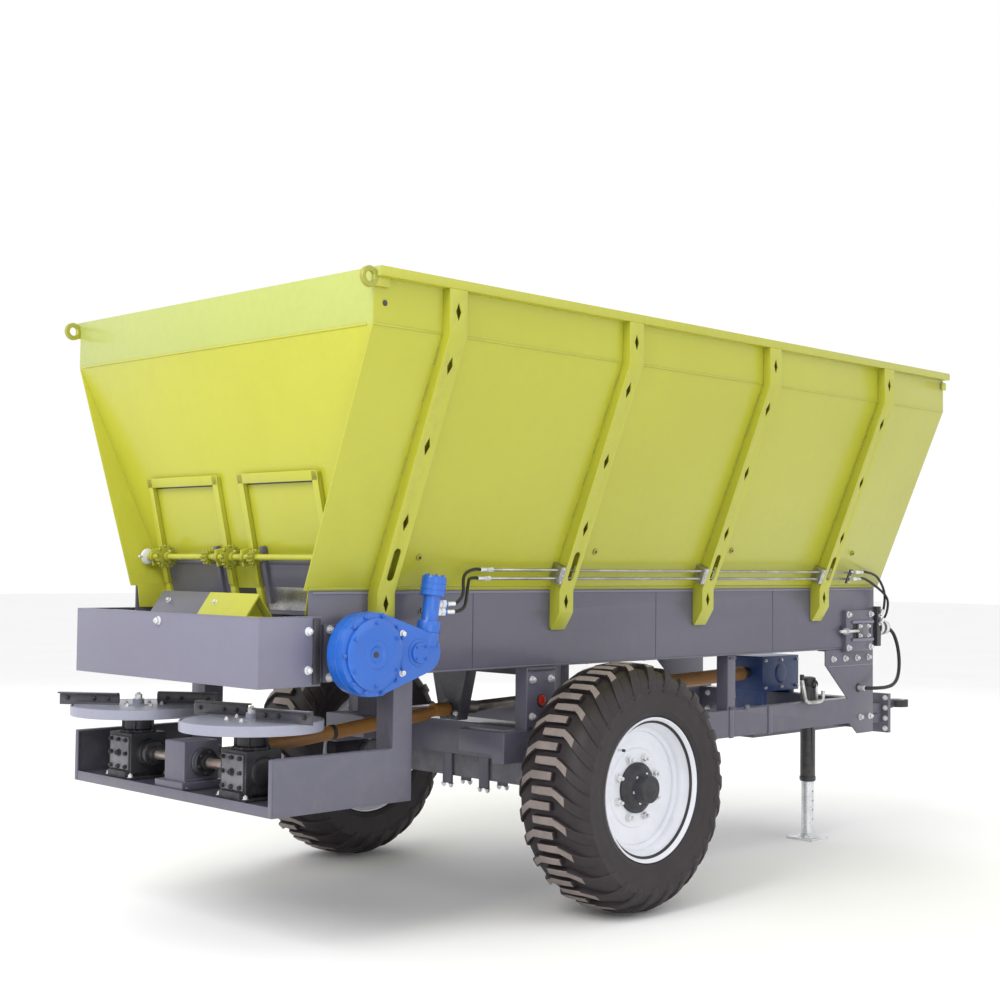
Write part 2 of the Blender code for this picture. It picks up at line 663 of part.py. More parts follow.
def conveyor():
    """Chain and slat conveyor as one fixed loop on its drive and idler shafts."""
    def oval(radius):
        outline = []
        for k in range(ARC_POINTS):
            a = math.radians(90 + 180 * k / (ARC_POINTS - 1))
            outline.append((DRIVE_X + radius * math.cos(a), CONVEYOR_Z + radius * math.sin(a)))
        for k in range(ARC_POINTS):
            a = math.radians(270 + 180 * k / (ARC_POINTS - 1))
            outline.append((IDLER_X + radius * math.cos(a), CONVEYOR_Z + radius * math.sin(a)))
        return outline

    strands = []
    for sign in (-1, 1):
        strands.append(plate(f"chain_{sign}", "Y", [oval(CHAIN_OUT_R), oval(SPROCKET_R)],
                             sign * CHAIN_Y - CHAIN_WIDTH / 2, sign * CHAIN_Y + CHAIN_WIDTH / 2,
                             STEEL, cutter=sign == 1))
    loop = strands[0]
    loop.name = "conveyor_loop"
    slats = []
    half = TROUGH_HALF_WIDTH - TROUGH_PLATE - RUN
    pitch = (IDLER_X - DRIVE_X) / SLATS
    for k in range(SLATS):
        x = DRIVE_X + (k + 0.5) * pitch
        for level, low, high in (("top", CARRY_Z - CHAIN_THICKNESS * 0.8, CARRY_Z + SLAT_HEIGHT),
                                 ("low", 2 * CONVEYOR_Z - CARRY_Z - 0.003,
                                  2 * CONVEYOR_Z - CARRY_Z + CHAIN_THICKNESS * 0.8)):
            slats.append(box(f"slat_{level}_{k}", (x - SLAT_WIDTH / 2, -half, low),
                             (x + SLAT_WIDTH / 2, half, high), STEEL, cutter=True))
    combine(loop, [strands[1]] + slats)
    inner_end = TROUGH_HALF_WIDTH + BEARING_PLATE + 0.012
    for name, x, right in (("conveyor_drive_shaft", DRIVE_X, -DRIVE_BACK_Y - GAP),
                           ("conveyor_idler_shaft", IDLER_X, inner_end)):
        shaft = rod(name, (x, -right, CONVEYOR_Z), (x, inner_end, CONVEYOR_Z), SHAFT_R, STEEL, 16)
        wheels = []
        for sign in (-1, 1):
            wheels.append(rod(f"{name}_sprocket_{sign}",
                              (x, sign * CHAIN_Y - CHAIN_WIDTH * 0.4, CONVEYOR_Z),
                              (x, sign * CHAIN_Y + CHAIN_WIDTH * 0.4, CONVEYOR_Z),
                              (SPROCKET_R - GAP * 2) * math.cos(math.pi / 2 / (ARC_POINTS - 1)), STEEL, 16,
                              cutter=True))
        combine(shaft, wheels)


def apron():
    """Three-sided box round the conveyor's outlet, returned on to the trough sides."""
    t = APRON_PLATE
    w = APRON_HALF_WIDTH
    foot = TROUGH_HALF_WIDTH + GAP
    outline = [(APRON_FRONT, -w), (APRON_REAR, -w), (APRON_REAR, w), (APRON_FRONT, w),
               (APRON_FRONT, foot), (APRON_FRONT - t * 2, foot), (APRON_FRONT - t * 2, w - t),
               (APRON_REAR + t, w - t), (APRON_REAR + t, -w + t), (APRON_FRONT - t * 2, -w + t),
               (APRON_FRONT - t * 2, -foot), (APRON_FRONT, -foot)]
    plate("rear_apron", "Z", [outline], APRON_BOTTOM, APRON_TOP, GREY)


def divider():
    """Folded deflector that splits the flow between the discs, on a bar across the apron."""
    t = 0.006
    ridge = (0.000, DIVIDER_TOP)
    outline = [(-0.120, 1.330), ridge, (0.090, 1.372), (0.084, 1.372 - t), (0.0, DIVIDER_TOP - 2.2 * t),
               (-0.112, 1.330)]
    fold = plate("flow_divider", "Y", [outline], DIVIDER_RIGHT, DIVIDER_LEFT, GREEN)
    half = APRON_HALF_WIDTH - APRON_PLATE - GAP
    bar = rod("divider_bar", (-0.055, -half, 1.385), (-0.055, half, 1.385), 0.016, GREEN, 12, cutter=True)
    webs = []
    for y in (DIVIDER_RIGHT + 0.05, DIVIDER_LEFT - 0.05):
        webs.append(plate(f"divider_web_{y:.1f}", "Y", [[(-0.100, 1.352), (-0.008, 1.478), (0.060, 1.392),
                                                         (-0.055, 1.372)]], y - 0.004, y + 0.004,
                          GREEN, cutter=True))
    combine(fold, webs + [bar])


# ---------------------------------------------------------------- spreader unit
def tray():
    """The channel frame under the discs and its two posts up to the trough."""
    w = TRAY_HALF_WIDTH
    t = TRAY_PLATE
    floor = box("spreader_tray", (TRAY_REAR, -w, TRAY_BOTTOM), (TRAY_FRONT, w, TRAY_FLOOR), GREY)
    hollow = box("tray_hollow", (TRAY_REAR + t, -w + t, TRAY_BOTTOM - 0.1),
                 (TRAY_FRONT - t, w - t, TRAY_FLOOR - t), GREY, cutter=True)
    combine(floor, [hollow], "DIFFERENCE")
    extras = []
    for sign in (-1, 1):
        low, high = sorted((sign * w, sign * (w - t)))
        extras.append(box(f"tray_side_{sign}", (TRAY_REAR, low, TRAY_BOTTOM),
                          (TRAY_FRONT, high, TRAY_SIDE_TOP), GREY, cutter=True))
        low, high = sorted((sign * w, sign * (w - POST)))
        extras.append(box(f"tray_post_{sign}", (TRAY_FRONT - POST, low, TRAY_BOTTOM),
                          (TRAY_FRONT, high, TROUGH_BOTTOM - GAP), GREY, cutter=True))
    combine(floor, extras)


def gearboxes():
    """Two bevel boxes under the discs and the T-box between them, with coupled cross shafts."""
    half = BOX_SIZE / 2
    floor = TRAY_FLOOR + GAP
    for side, sign in (("right", -1), ("left", 1)):
        y = sign * DISC_Y
        body = box(f"gearbox_{side}", (DISC_X - half, y - half, BOX_BOTTOM),
                   (DISC_X + half, y + half, BOX_BOTTOM + BOX_SIZE), CAST)
        foot = box(f"gearbox_{side}_foot", (DISC_X - half - 0.02, y - half * 0.8, floor),
                   (DISC_X + half + 0.02, y + half * 0.8, BOX_BOTTOM + 0.01), CAST, cutter=True)
        neck = rod(f"gearbox_{side}_neck", (DISC_X, y, BOX_BOTTOM + BOX_SIZE - 0.01),
                   (DISC_X, y, BOX_BOTTOM + BOX_SIZE + 0.024), 0.060, CAST, 24, cutter=True)
        stub = rod(f"gearbox_{side}_stub", (DISC_X, y, BOX_BOTTOM + BOX_SIZE), (DISC_X, y, 0.900),
                   0.028, CAST, 20, cutter=True)
        flange = rod(f"gearbox_{side}_flange", (DISC_X, sign * (DISC_Y - half + 0.01), BOX_Z),
                     (DISC_X, sign * (DISC_Y - half - 0.030), BOX_Z), 0.062, CAST, 24, cutter=True)
        combine(body, [foot, neck, stub, flange])
    t_half = BOX_SIZE * 0.42
    body = box("gearbox_centre", (DISC_X - half, -t_half, BOX_BOTTOM),
               (DISC_X + half, t_half, BOX_BOTTOM + BOX_SIZE),
               CAST)
    foot = box("gearbox_centre_foot", (DISC_X - half - 0.03, -t_half - 0.03, floor),
               (DISC_X + half + 0.01, t_half + 0.03, BOX_BOTTOM + 0.01), CAST, cutter=True)
    reach = DISC_Y - half - 0.030 - GAP
    shaft = rod("gearbox_centre_cross_shaft", (DISC_X, -reach, BOX_Z), (DISC_X, reach, BOX_Z),
                CROSS_SHAFT_R, STEEL, 20, cutter=True)
    couplings = []
    for sign in (-1, 1):
        couplings.append(rod(f"cross_coupling_{sign}", (DISC_X, sign * (t_half - 0.01), BOX_Z),
                             (DISC_X, sign * (t_half + 0.040), BOX_Z), 0.058, CAST, 24, cutter=True))
    nose = rod("gearbox_centre_nose", (DISC_X + half - 0.01, 0.0, BOX_Z + 0.01),
               (DISC_X + half + 0.050, 0.0, BOX_Z + 0.01), 0.050, CAST, 24, cutter=True)
    combine(body, [foot, shaft, nose] + couplings)


def discs():
    """Spinner discs with a turned-down lip, a hub and bent channel blades."""
    t = DISC_PLATE
    hub_bottom = 0.900 + GAP
    for side, sign in (("right", -1), ("left", 1)):
        centre = Vector((DISC_X, sign * DISC_Y, DISC_TOP))
        drop = hub_bottom - DISC_TOP
        profile = [(0.0, t), (DISC_R - 0.01, t), (DISC_R, t - 0.008), (DISC_R, t - DISC_LIP),
                   (DISC_R - t, t - DISC_LIP), (DISC_R - t, -0.008), (DISC_R - 0.012, 0.0),
                   (0.055, 0.0), (0.055, drop), (0.0, drop)]
        disc = turned(f"disc_{side}", profile, centre, (0, 0, 1), DISC, 28, closed=False)
        blades = []
        for k in range(BLADES):
            tip = BLADE_TIP_ANGLE[side] + 2 * math.pi * k / BLADES
            seat = centre + Vector((0.0, 0.0, t - 0.001))
            blades += blade_pieces(f"disc_{side}_blade_{k}", seat, tip, tip + sign * BLADE_SWEEP, sign)
        combine(disc, blades)


def blade_pieces(name, seat, tip, root_angle, sign):
    """A channel blade from its root to its trailing tip: an upright web and a top flange."""
    start = Vector((math.cos(root_angle), math.sin(root_angle))) * BLADE_ROOT_R
    end = Vector((math.cos(tip), math.sin(tip))) * BLADE_TIP_R
    along = (end - start).normalized()
    side = Vector((-along.y, along.x)) * sign
    pieces = []
    for label, width, low, high in (("web", DISC_PLATE, 0.0, BLADE_HEIGHT),
                                    ("top", BLADE_FLANGE, BLADE_HEIGHT - DISC_PLATE,
                                     BLADE_HEIGHT + 0.0005)):
        outline = [start, end, end + side * width, start + side * width]
        piece = plate(f"{name}_{label}", "Z", [[(p.x, p.y) for p in outline]], low, high, DISC,
                      cutter=True)
        piece.location = piece.location + seat
        pieces.append(piece)
    return pieces


# ---------------------------------------------------------------- conveyor drive
def conveyor_drive():
    """Teardrop reduction box on the drive shaft, with its hydraulic motor."""
    outline = []
    gap_x = DRIVE_NECK_X - DRIVE_X
    spread = math.acos((DRIVE_R - DRIVE_NECK_R) / gap_x)
    for k in range(19):
        a = spread + k * (2 * math.pi - 2 * spread) / 18
        outline.append((DRIVE_X + DRIVE_R * math.cos(a), CONVEYOR_Z + DRIVE_R * math.sin(a)))
    for k in range(9):
        a = -spread + k * 2 * spread / 8
        outline.append((DRIVE_NECK_X + DRIVE_NECK_R * math.cos(a),
                        CONVEYOR_Z + DRIVE_NECK_R * math.sin(a)))
    body = plate("conveyor_gearbox", "Y", [outline], DRIVE_FACE_Y + 0.012, DRIVE_BACK_Y, BLUE)
    cover = rod("gearbox_cover", (DRIVE_X, DRIVE_FACE_Y + 0.02, CONVEYOR_Z),
                (DRIVE_X, DRIVE_FACE_Y, CONVEYOR_Z),
                DRIVE_R * 0.86, BLUE, 32, cutter=True)
    boss = rod("gearbox_boss", (0.505, DRIVE_FACE_Y + 0.02, CONVEYOR_Z),
               (0.505, DRIVE_FACE_Y - 0.006, CONVEYOR_Z),
               0.045, BLUE, 20, cutter=True)
    mount = box("gearbox_mount", (DRIVE_X - 0.10, DRIVE_BACK_Y - 0.01, CONVEYOR_Z - 0.10),
                (DRIVE_X + 0.10, -TROUGH_HALF_WIDTH - BEARING_PLATE - GAP,
                 CONVEYOR_Z + 0.10), DARK, cutter=True)
    bore = rod("gearbox_bore", (DRIVE_X, DRIVE_BACK_Y, CONVEYOR_Z), (DRIVE_X, -0.60, CONVEYOR_Z),
               SHAFT_R + GAP * 2, DARK, 16, cutter=True)
    combine(body, [cover, boss, mount])
    combine(body, [bore], "DIFFERENCE")
    y = (DRIVE_FACE_Y + DRIVE_BACK_Y) / 2
    lean = Vector((math.sin(MOTOR_LEAN), 0.0, math.cos(MOTOR_LEAN)))
    top = Vector((MOTOR_X + 0.020, y, MOTOR_TOP))
    seat = top - lean * 0.245
    motor = rod("conveyor_motor", top - lean * 0.085, top, MOTOR_R, BLUE, 28)
    neck = rod("motor_neck", seat + lean * 0.035, top - lean * 0.080, MOTOR_NECK_R, BLUE, 24, cutter=True)
    flange = rod("motor_flange", seat, seat + lean * 0.050, 0.052, BLUE, 24, cutter=True)
    port = rod("motor_port", top - lean * 0.120, top - lean * 0.120 + Vector((0.075, -0.02, 0.0)), 0.016,
               STEEL, 12, cutter=True)
    port_low = rod("motor_port_low", top - lean * 0.155,
                   top - lean * 0.155 + Vector((0.075, -0.02, 0.0)), 0.016,
                   STEEL, 12, cutter=True)
    combine(motor, [neck, flange, port, port_low])
    socket = rod("motor_socket", seat - lean * 0.06, seat - lean * GAP, 0.050, BLUE, 24, cutter=True)
    combine(body, [socket])
    clear = rod("motor_clear", seat - lean * GAP, seat + lean * 0.3, 0.070, BLUE, 24, cutter=True)
    combine(body, [clear], "DIFFERENCE")


# ---------------------------------------------------------------- chassis
def chassis():
    """Side frames, each a rail with its columns and front gusset, and the cross members."""
    t = GUSSET_PLATE
    top = TROUGH_BOTTOM - GAP
    for side, sign in (("right", -1), ("left", 1)):
        low, high = sorted((sign * RAIL_OUT, sign * (RAIL_OUT - RAIL_WIDTH)))
        rail = box(f"chassis_rail_{side}", (RAIL_REAR, low, RAIL_BOTTOM), (TROUGH_FRONT, high, RAIL_TOP),
                   GREY)
        extras = []
        for k, (x, length) in enumerate(zip(COLUMN_X, COLUMN_LENGTH)):
            extras.append(box(f"column_{side}_{k}", (x, low, RAIL_TOP - 0.02), (x + length, high, top),
                              GREY,
                              cutter=True))
        end_low, end_high = sorted((sign * RAIL_OUT, sign * 0.354))
        extras.append(box(f"rail_end_{side}", (RAIL_REAR, end_low, RAIL_BOTTOM + 0.04),
                          (RAIL_REAR + 0.08, end_high, RAIL_TOP), GREY, cutter=True))
        slope = [(GUSSET_REAR, top), (GUSSET_REAR, 1.049), (4.241, RAIL_TOP - 0.02),
                 (4.241, GUSSET_BOTTOM + 0.07),
                 (4.330, GUSSET_BOTTOM), (TROUGH_FRONT, GUSSET_BOTTOM), (TROUGH_FRONT, top)]
        face_low, face_high = sorted((sign * RAIL_OUT, sign * (RAIL_OUT - t)))
        extras.append(plate(f"gusset_{side}", "Y", [slope], face_low, face_high, GREY, cutter=True))
        shelf_low, shelf_high = sorted((sign * RAIL_OUT, sign * (RAIL_OUT - 0.060)))
        extras.append(box(f"gusset_shelf_{side}", (GUSSET_REAR, shelf_low, top - t),
                          (TROUGH_FRONT, shelf_high, top),
                          GREY, cutter=True))
        combine(rail, extras)
    inner = RAIL_OUT - RAIL_WIDTH - GAP
    axle_top = AXLE_Z + AXLE_BEAM / 2
    saddle = box("axle_saddle", (AXLE_X - 0.10, -inner, axle_top + GAP),
                 (AXLE_X + 0.10, inner, RAIL_TOP - 0.02), GREY)
    clamps = []
    for sign in (-1, 1):
        for end in (-1, 1):
            x = AXLE_X + end * (AXLE_BEAM / 2 + GAP)
            x_low, x_high = sorted((x, x + end * 0.014))
            clamps.append(box(f"axle_clamp_{sign}_{end}", (x_low, sign * CLAMP_Y - 0.035, AXLE_Z - 0.100),
                              (x_high, sign * CLAMP_Y + 0.035, axle_top + 0.04), DARK, cutter=True))
    combine(saddle, clamps)
    box("cross_member_middle", (COLUMN_X[1], -inner, RAIL_BOTTOM + 0.02),
        (COLUMN_X[1] + 0.07, inner, RAIL_TOP - 0.01),
        GREY)


def drawbar():
    """Centre drawbar welded to the front cross member, with its bolted tow eye."""
    inner = RAIL_OUT - RAIL_WIDTH - GAP
    bar = box("drawbar", (CROSS_FRONT_X - 0.30, -DRAWBAR_HALF, DRAWBAR_BOTTOM),
              (DRAWBAR_FRONT, DRAWBAR_HALF, DRAWBAR_TOP), GREY)
    cross = box("drawbar_cross", (CROSS_FRONT_X, -inner, DRAWBAR_TOP - 0.04),
                (CROSS_FRONT_X + 0.10, inner, RAIL_TOP - 0.01), GREY, cutter=True)
    face = box("drawbar_face", (DRAWBAR_FRONT - 0.01, -HITCH_HALF, HITCH_BOTTOM),
               (DRAWBAR_FRONT + HITCH_PLATE, HITCH_HALF, HITCH_TOP), GREY, cutter=True)
    reach = 0.50
    braces = []
    for sign in (-1, 1):
        y_low, y_high = sorted((sign * (DRAWBAR_HALF - 0.01), sign * inner))
        outline = [(CROSS_FRONT_X + 0.05, sign * inner), (CROSS_FRONT_X + 0.05, sign * (inner - 0.10)),
                   (CROSS_FRONT_X + reach, sign * (DRAWBAR_HALF - 0.01)),
                   (CROSS_FRONT_X + reach + 0.14, sign * (DRAWBAR_HALF - 0.01))]
        braces.append(plate(f"drawbar_brace_{sign}", "Z", [outline], DRAWBAR_TOP - 0.035,
                            DRAWBAR_TOP + 0.035, GREY,
                            cutter=True))
    combine(bar, [cross, face] + braces)
    start = DRAWBAR_FRONT + HITCH_PLATE + GAP
    eye = turned("tow_eye", [(EYE_R, EYE_THICK / 2), (EYE_R, -EYE_THICK / 2),
                             (EYE_HOLE_R, -EYE_THICK / 2),
                             (EYE_HOLE_R, EYE_THICK / 2)], (EYE_X, 0.0, EYE_Z), (0, 0, 1), CAST, 32)
    shank = rod("tow_eye_shank", (start + 0.02, 0.0, EYE_Z), (EYE_X - EYE_HOLE_R - 0.012, 0.0, EYE_Z),
                0.050, CAST, 20,
                cutter=True, tip=0.027)
    back = box("tow_eye_plate", (start, -0.075, EYE_Z - 0.160), (start + 0.030, 0.075, EYE_Z + 0.080),
               CAST,
               cutter=True)
    combine(eye, [shank, back])


def axle():
    """Square axle beam with a turned spindle at each end."""
    half = AXLE_BEAM / 2
    beam = box("axle_beam", (AXLE_X - half, -AXLE_HALF, AXLE_Z - half),
               (AXLE_X + half, AXLE_HALF, AXLE_Z + half), GREY)
    spindles = []
    for sign in (-1, 1):
        spindles.append(rod(f"spindle_{sign}", (AXLE_X, sign * (AXLE_HALF - 0.02), AXLE_Z),
                            (AXLE_X, sign * (WHEEL_Y + 0.130),
                             AXLE_Z), SPINDLE_R - 0.0006, STEEL, 24, cutter=True))
    combine(beam, spindles)


def wheels():
    """Tyre, disc rim and hub of each wheel, about an empty on the axle's line."""
    half = TYRE_WIDTH / 2
    skin = 0.032
    seat = RIM_HALF - 0.012
    bead = BEAD_R + GAP
    outer = [(bead, -seat), (FLANGE_R + 0.003, -seat), (0.365, -seat - 0.028), (0.440, -half),
             (0.555, -half + 0.012),
             (TYRE_R, -half + 0.055), (TYRE_R, half - 0.055), (0.555, half - 0.012), (0.440, half),
             (0.365, seat + 0.028), (FLANGE_R + 0.003, seat), (bead, seat)]
    inner = [(bead, seat - 0.026), (0.440, half - skin), (0.540, half - skin - 0.02),
             (0.540, -half + skin + 0.02), (0.440, -half + skin), (bead, -seat + 0.026)]
    tyre_profile = [(r, z) for r, z in reversed(outer + inner)]
    barrel = [(FLANGE_R, RIM_HALF), (FLANGE_R, RIM_HALF - 0.010), (BEAD_R, RIM_HALF - 0.012),
              (0.275, 0.095),
              (0.275, -0.095), (BEAD_R, -RIM_HALF + 0.012), (FLANGE_R, -RIM_HALF + 0.010), (FLANGE_R, -RIM_HALF),
              (BEAD_R - 0.008, -RIM_HALF), (0.267, -0.095), (0.267, 0.040), (0.235, 0.062),
              (HUB_R + GAP, 0.062), (HUB_R + GAP, 0.074), (0.240, 0.074), (0.267, 0.095), (BEAD_R - 0.008, RIM_HALF)]
    bore = SPINDLE_R + 0.0002
    hub_profile = [(0.0, 0.166), (0.064, 0.166), (0.072, 0.092), (HUB_R, 0.088), (HUB_R, 0.0610),
                   (0.125, 0.0610),
                   (0.125, 0.034), (0.085, 0.030), (0.060, -0.130), (bore, -0.130), (bore, 0.1316), (0.0, 0.1316)]
    half_step = math.pi / TYRE_STEPS
    for side, sign in (("right", -1), ("left", 1)):
        hinge = bpy.data.objects.new(f"wheel_{side}_axis", None)
        hinge.location = (AXLE_X, sign * WHEEL_Y, AXLE_Z)
        hinge.parent = root
        parts.objects.link(hinge)
        for name, profile, mat, closed in (("tyre", tyre_profile, TYRE, True),
                                           ("rim", barrel, WHITE, True),
                                           ("hub", hub_profile, CAST, False)):
            turned(f"{name}_{side}", profile, (0, 0, 0), (0, sign, 0), mat, TYRE_STEPS, closed, hinge,
                   phase=half_step)


def jack():
    """Parking jack: tube on the rail's inner face and a leg that stands on the ground."""
    ring = [(JACK_TUBE_R, JACK_TUBE_TOP), (JACK_TUBE_R, JACK_TUBE_BOTTOM),
            (JACK_LEG_R + 0.001, JACK_TUBE_BOTTOM), (JACK_LEG_R + 0.001, JACK_TUBE_TOP - 0.01),
            (0.0, JACK_TUBE_TOP - 0.01)]
    shell = turned("jack_tube", [(0.0, JACK_TUBE_TOP)] + ring, (JACK_X, JACK_Y, 0.0), (0, 0, 1), DARK, 24,
                   closed=False)
    inner = -RAIL_OUT + RAIL_WIDTH + GAP
    bracket = box("jack_bracket", (JACK_X - 0.050, inner, RAIL_BOTTOM + 0.02),
                  (JACK_X + 0.050, JACK_Y - JACK_TUBE_R + 0.006, RAIL_TOP - 0.02), DARK, cutter=True)
    combine(shell, [bracket])
    leg = rod("jack_leg", (JACK_X, JACK_Y, JACK_FOOT_PLATE - 0.004), (JACK_X, JACK_Y, JACK_LEG_TOP),
              JACK_LEG_R, STEEL, 24)
    foot = box("jack_foot", (JACK_X - JACK_FOOT / 2, JACK_Y - JACK_FOOT / 2, 0.0),
               (JACK_X + JACK_FOOT / 2, JACK_Y + JACK_FOOT / 2, JACK_FOOT_PLATE), STEEL, cutter=True)
    combine(leg, [foot])


# ---------------------------------------------------------------- driveline
def driveline():
    """Front gearbox, line shaft, hanger bearing and the guarded rear drive shaft."""
    body = box("front_gearbox", (FRONT_BOX_REAR, -FRONT_BOX_HALF, FRONT_BOX_Z - 0.115),
               (FRONT_BOX_FRONT, FRONT_BOX_HALF, FRONT_BOX_Z + 0.105), BLUE)
    feet = []
    for k, x in enumerate((FRONT_BOX_REAR + 0.05, FRONT_BOX_FRONT - 0.05)):
        feet.append(box(f"front_gearbox_foot_{k}", (x - 0.03, -FRONT_BOX_HALF + 0.02, DRAWBAR_TOP + GAP),
                        (x + 0.03, FRONT_BOX_HALF - 0.02, FRONT_BOX_Z - 0.10), BLUE, cutter=True))
    pto = rod("pto_stub", (FRONT_BOX_FRONT - 0.01, 0.0, FRONT_BOX_Z), (PTO_END, 0.0, FRONT_BOX_Z), PTO_R,
              STEEL, 24,
              cutter=True)
    collar = rod("pto_collar", (FRONT_BOX_FRONT - 0.01, 0.0, FRONT_BOX_Z),
                 (FRONT_BOX_FRONT + 0.04, 0.0, FRONT_BOX_Z),
                 0.055, BLUE, 24, cutter=True)
    combine(body, feet + [pto, collar])
    cross_clear = box("front_gearbox_relief", (CROSS_FRONT_X - 0.01, -1.0, DRAWBAR_TOP - 0.1),
                      (CROSS_FRONT_X + 0.11, 1.0, RAIL_TOP - 0.01 + GAP), BLUE, cutter=True)
    combine(body, [cross_clear], "DIFFERENCE")


    hang_top = TROUGH_BOTTOM - GAP
    inner = RAIL_OUT - RAIL_WIDTH - GAP
    hanger = box("shaft_hanger", (HANGER_X - 0.040, -inner, hang_top - 0.05),
                 (HANGER_X + 0.040, inner, hang_top), DARK)
    drop = plate("hanger_drop", "X", [[(-0.130, hang_top - 0.045), (-0.065, HANGER_Z - 0.055),
                                       (0.065, HANGER_Z - 0.055), (0.130, hang_top - 0.045)]],
                 HANGER_X - 0.036, HANGER_X + 0.036, DARK, cutter=True)
    combine(hanger, [drop])
    bore = rod("hanger_bore", (HANGER_X - 0.1, 0.0, HANGER_Z), (HANGER_X + 0.1, 0.0, HANGER_Z),
               0.0225 + GAP, DARK, 24,
               cutter=True)
    combine(hanger, [bore], "DIFFERENCE")

    centre_nose = DISC_X + BOX_SIZE / 2 + 0.050 + GAP
    rear_start = Vector((centre_nose, 0.0, BOX_Z + 0.01))
    rear_end = Vector((HANGER_X, 0.0, HANGER_Z))
    run = (rear_end - rear_start).normalized()
    shaft = rod("rear_drive_shaft", rear_start + run * 0.14, rear_end - run * 0.20, REAR_GUARD_R, GUARD, 20)
    yoke = rod("rear_yoke", rear_start, rear_start + Vector((0.09, 0, 0)), YOKE_R, CAST, 16, cutter=True)
    neck = rod("rear_neck", rear_start + Vector((0.05, 0, 0)), rear_start + run * 0.16, YOKE_R * 0.8,
               CAST, 16, cutter=True)
    yoke_b = rod("rear_yoke_b", rear_end - Vector((0.150, 0, 0)), rear_end - Vector((0.045, 0, 0)),
                 YOKE_R, CAST, 16, cutter=True)
    neck_b = rod("rear_neck_b", rear_end - run * 0.23, rear_end - Vector((0.11, 0, 0)), YOKE_R * 0.8,
                 CAST, 16, cutter=True)
    through = rod("hanger_shaft", rear_end - Vector((0.06, 0, 0)), rear_end + Vector((0.060, 0, 0)),
                  0.0225, STEEL, 24,
                  cutter=True)
    combine(shaft, [yoke, neck, yoke_b, neck_b, through])

    line_start = rear_end + Vector((0.060 + GAP, 0.0, 0.0))
    line_end = Vector((FRONT_BOX_REAR - GAP, 0.0, FRONT_BOX_Z))
    run = (line_end - line_start).normalized()
    line = rod("line_shaft", line_start + run * 0.10, line_end - run * 0.10, 0.028, STEEL, 20)
    pieces = []
    for label, at, way in (("a", line_start, 1), ("b", line_end, -1)):
        pieces.append(rod(f"line_yoke_{label}", at, at + Vector((way * 0.085, 0, 0)), YOKE_R, CAST, 16,
                          cutter=True))
        pieces.append(rod(f"line_neck_{label}", at + Vector((way * 0.05, 0, 0)), at + run * way * 0.16,
                          YOKE_R * 0.8,
                          CAST, 16, cutter=True))
    pieces.append(rod("line_guard", line_start + run * 1.05, line_end - run * 0.16, GUARD_R, GUARD, 20,
                      cutter=True))
    combine(line, pieces)



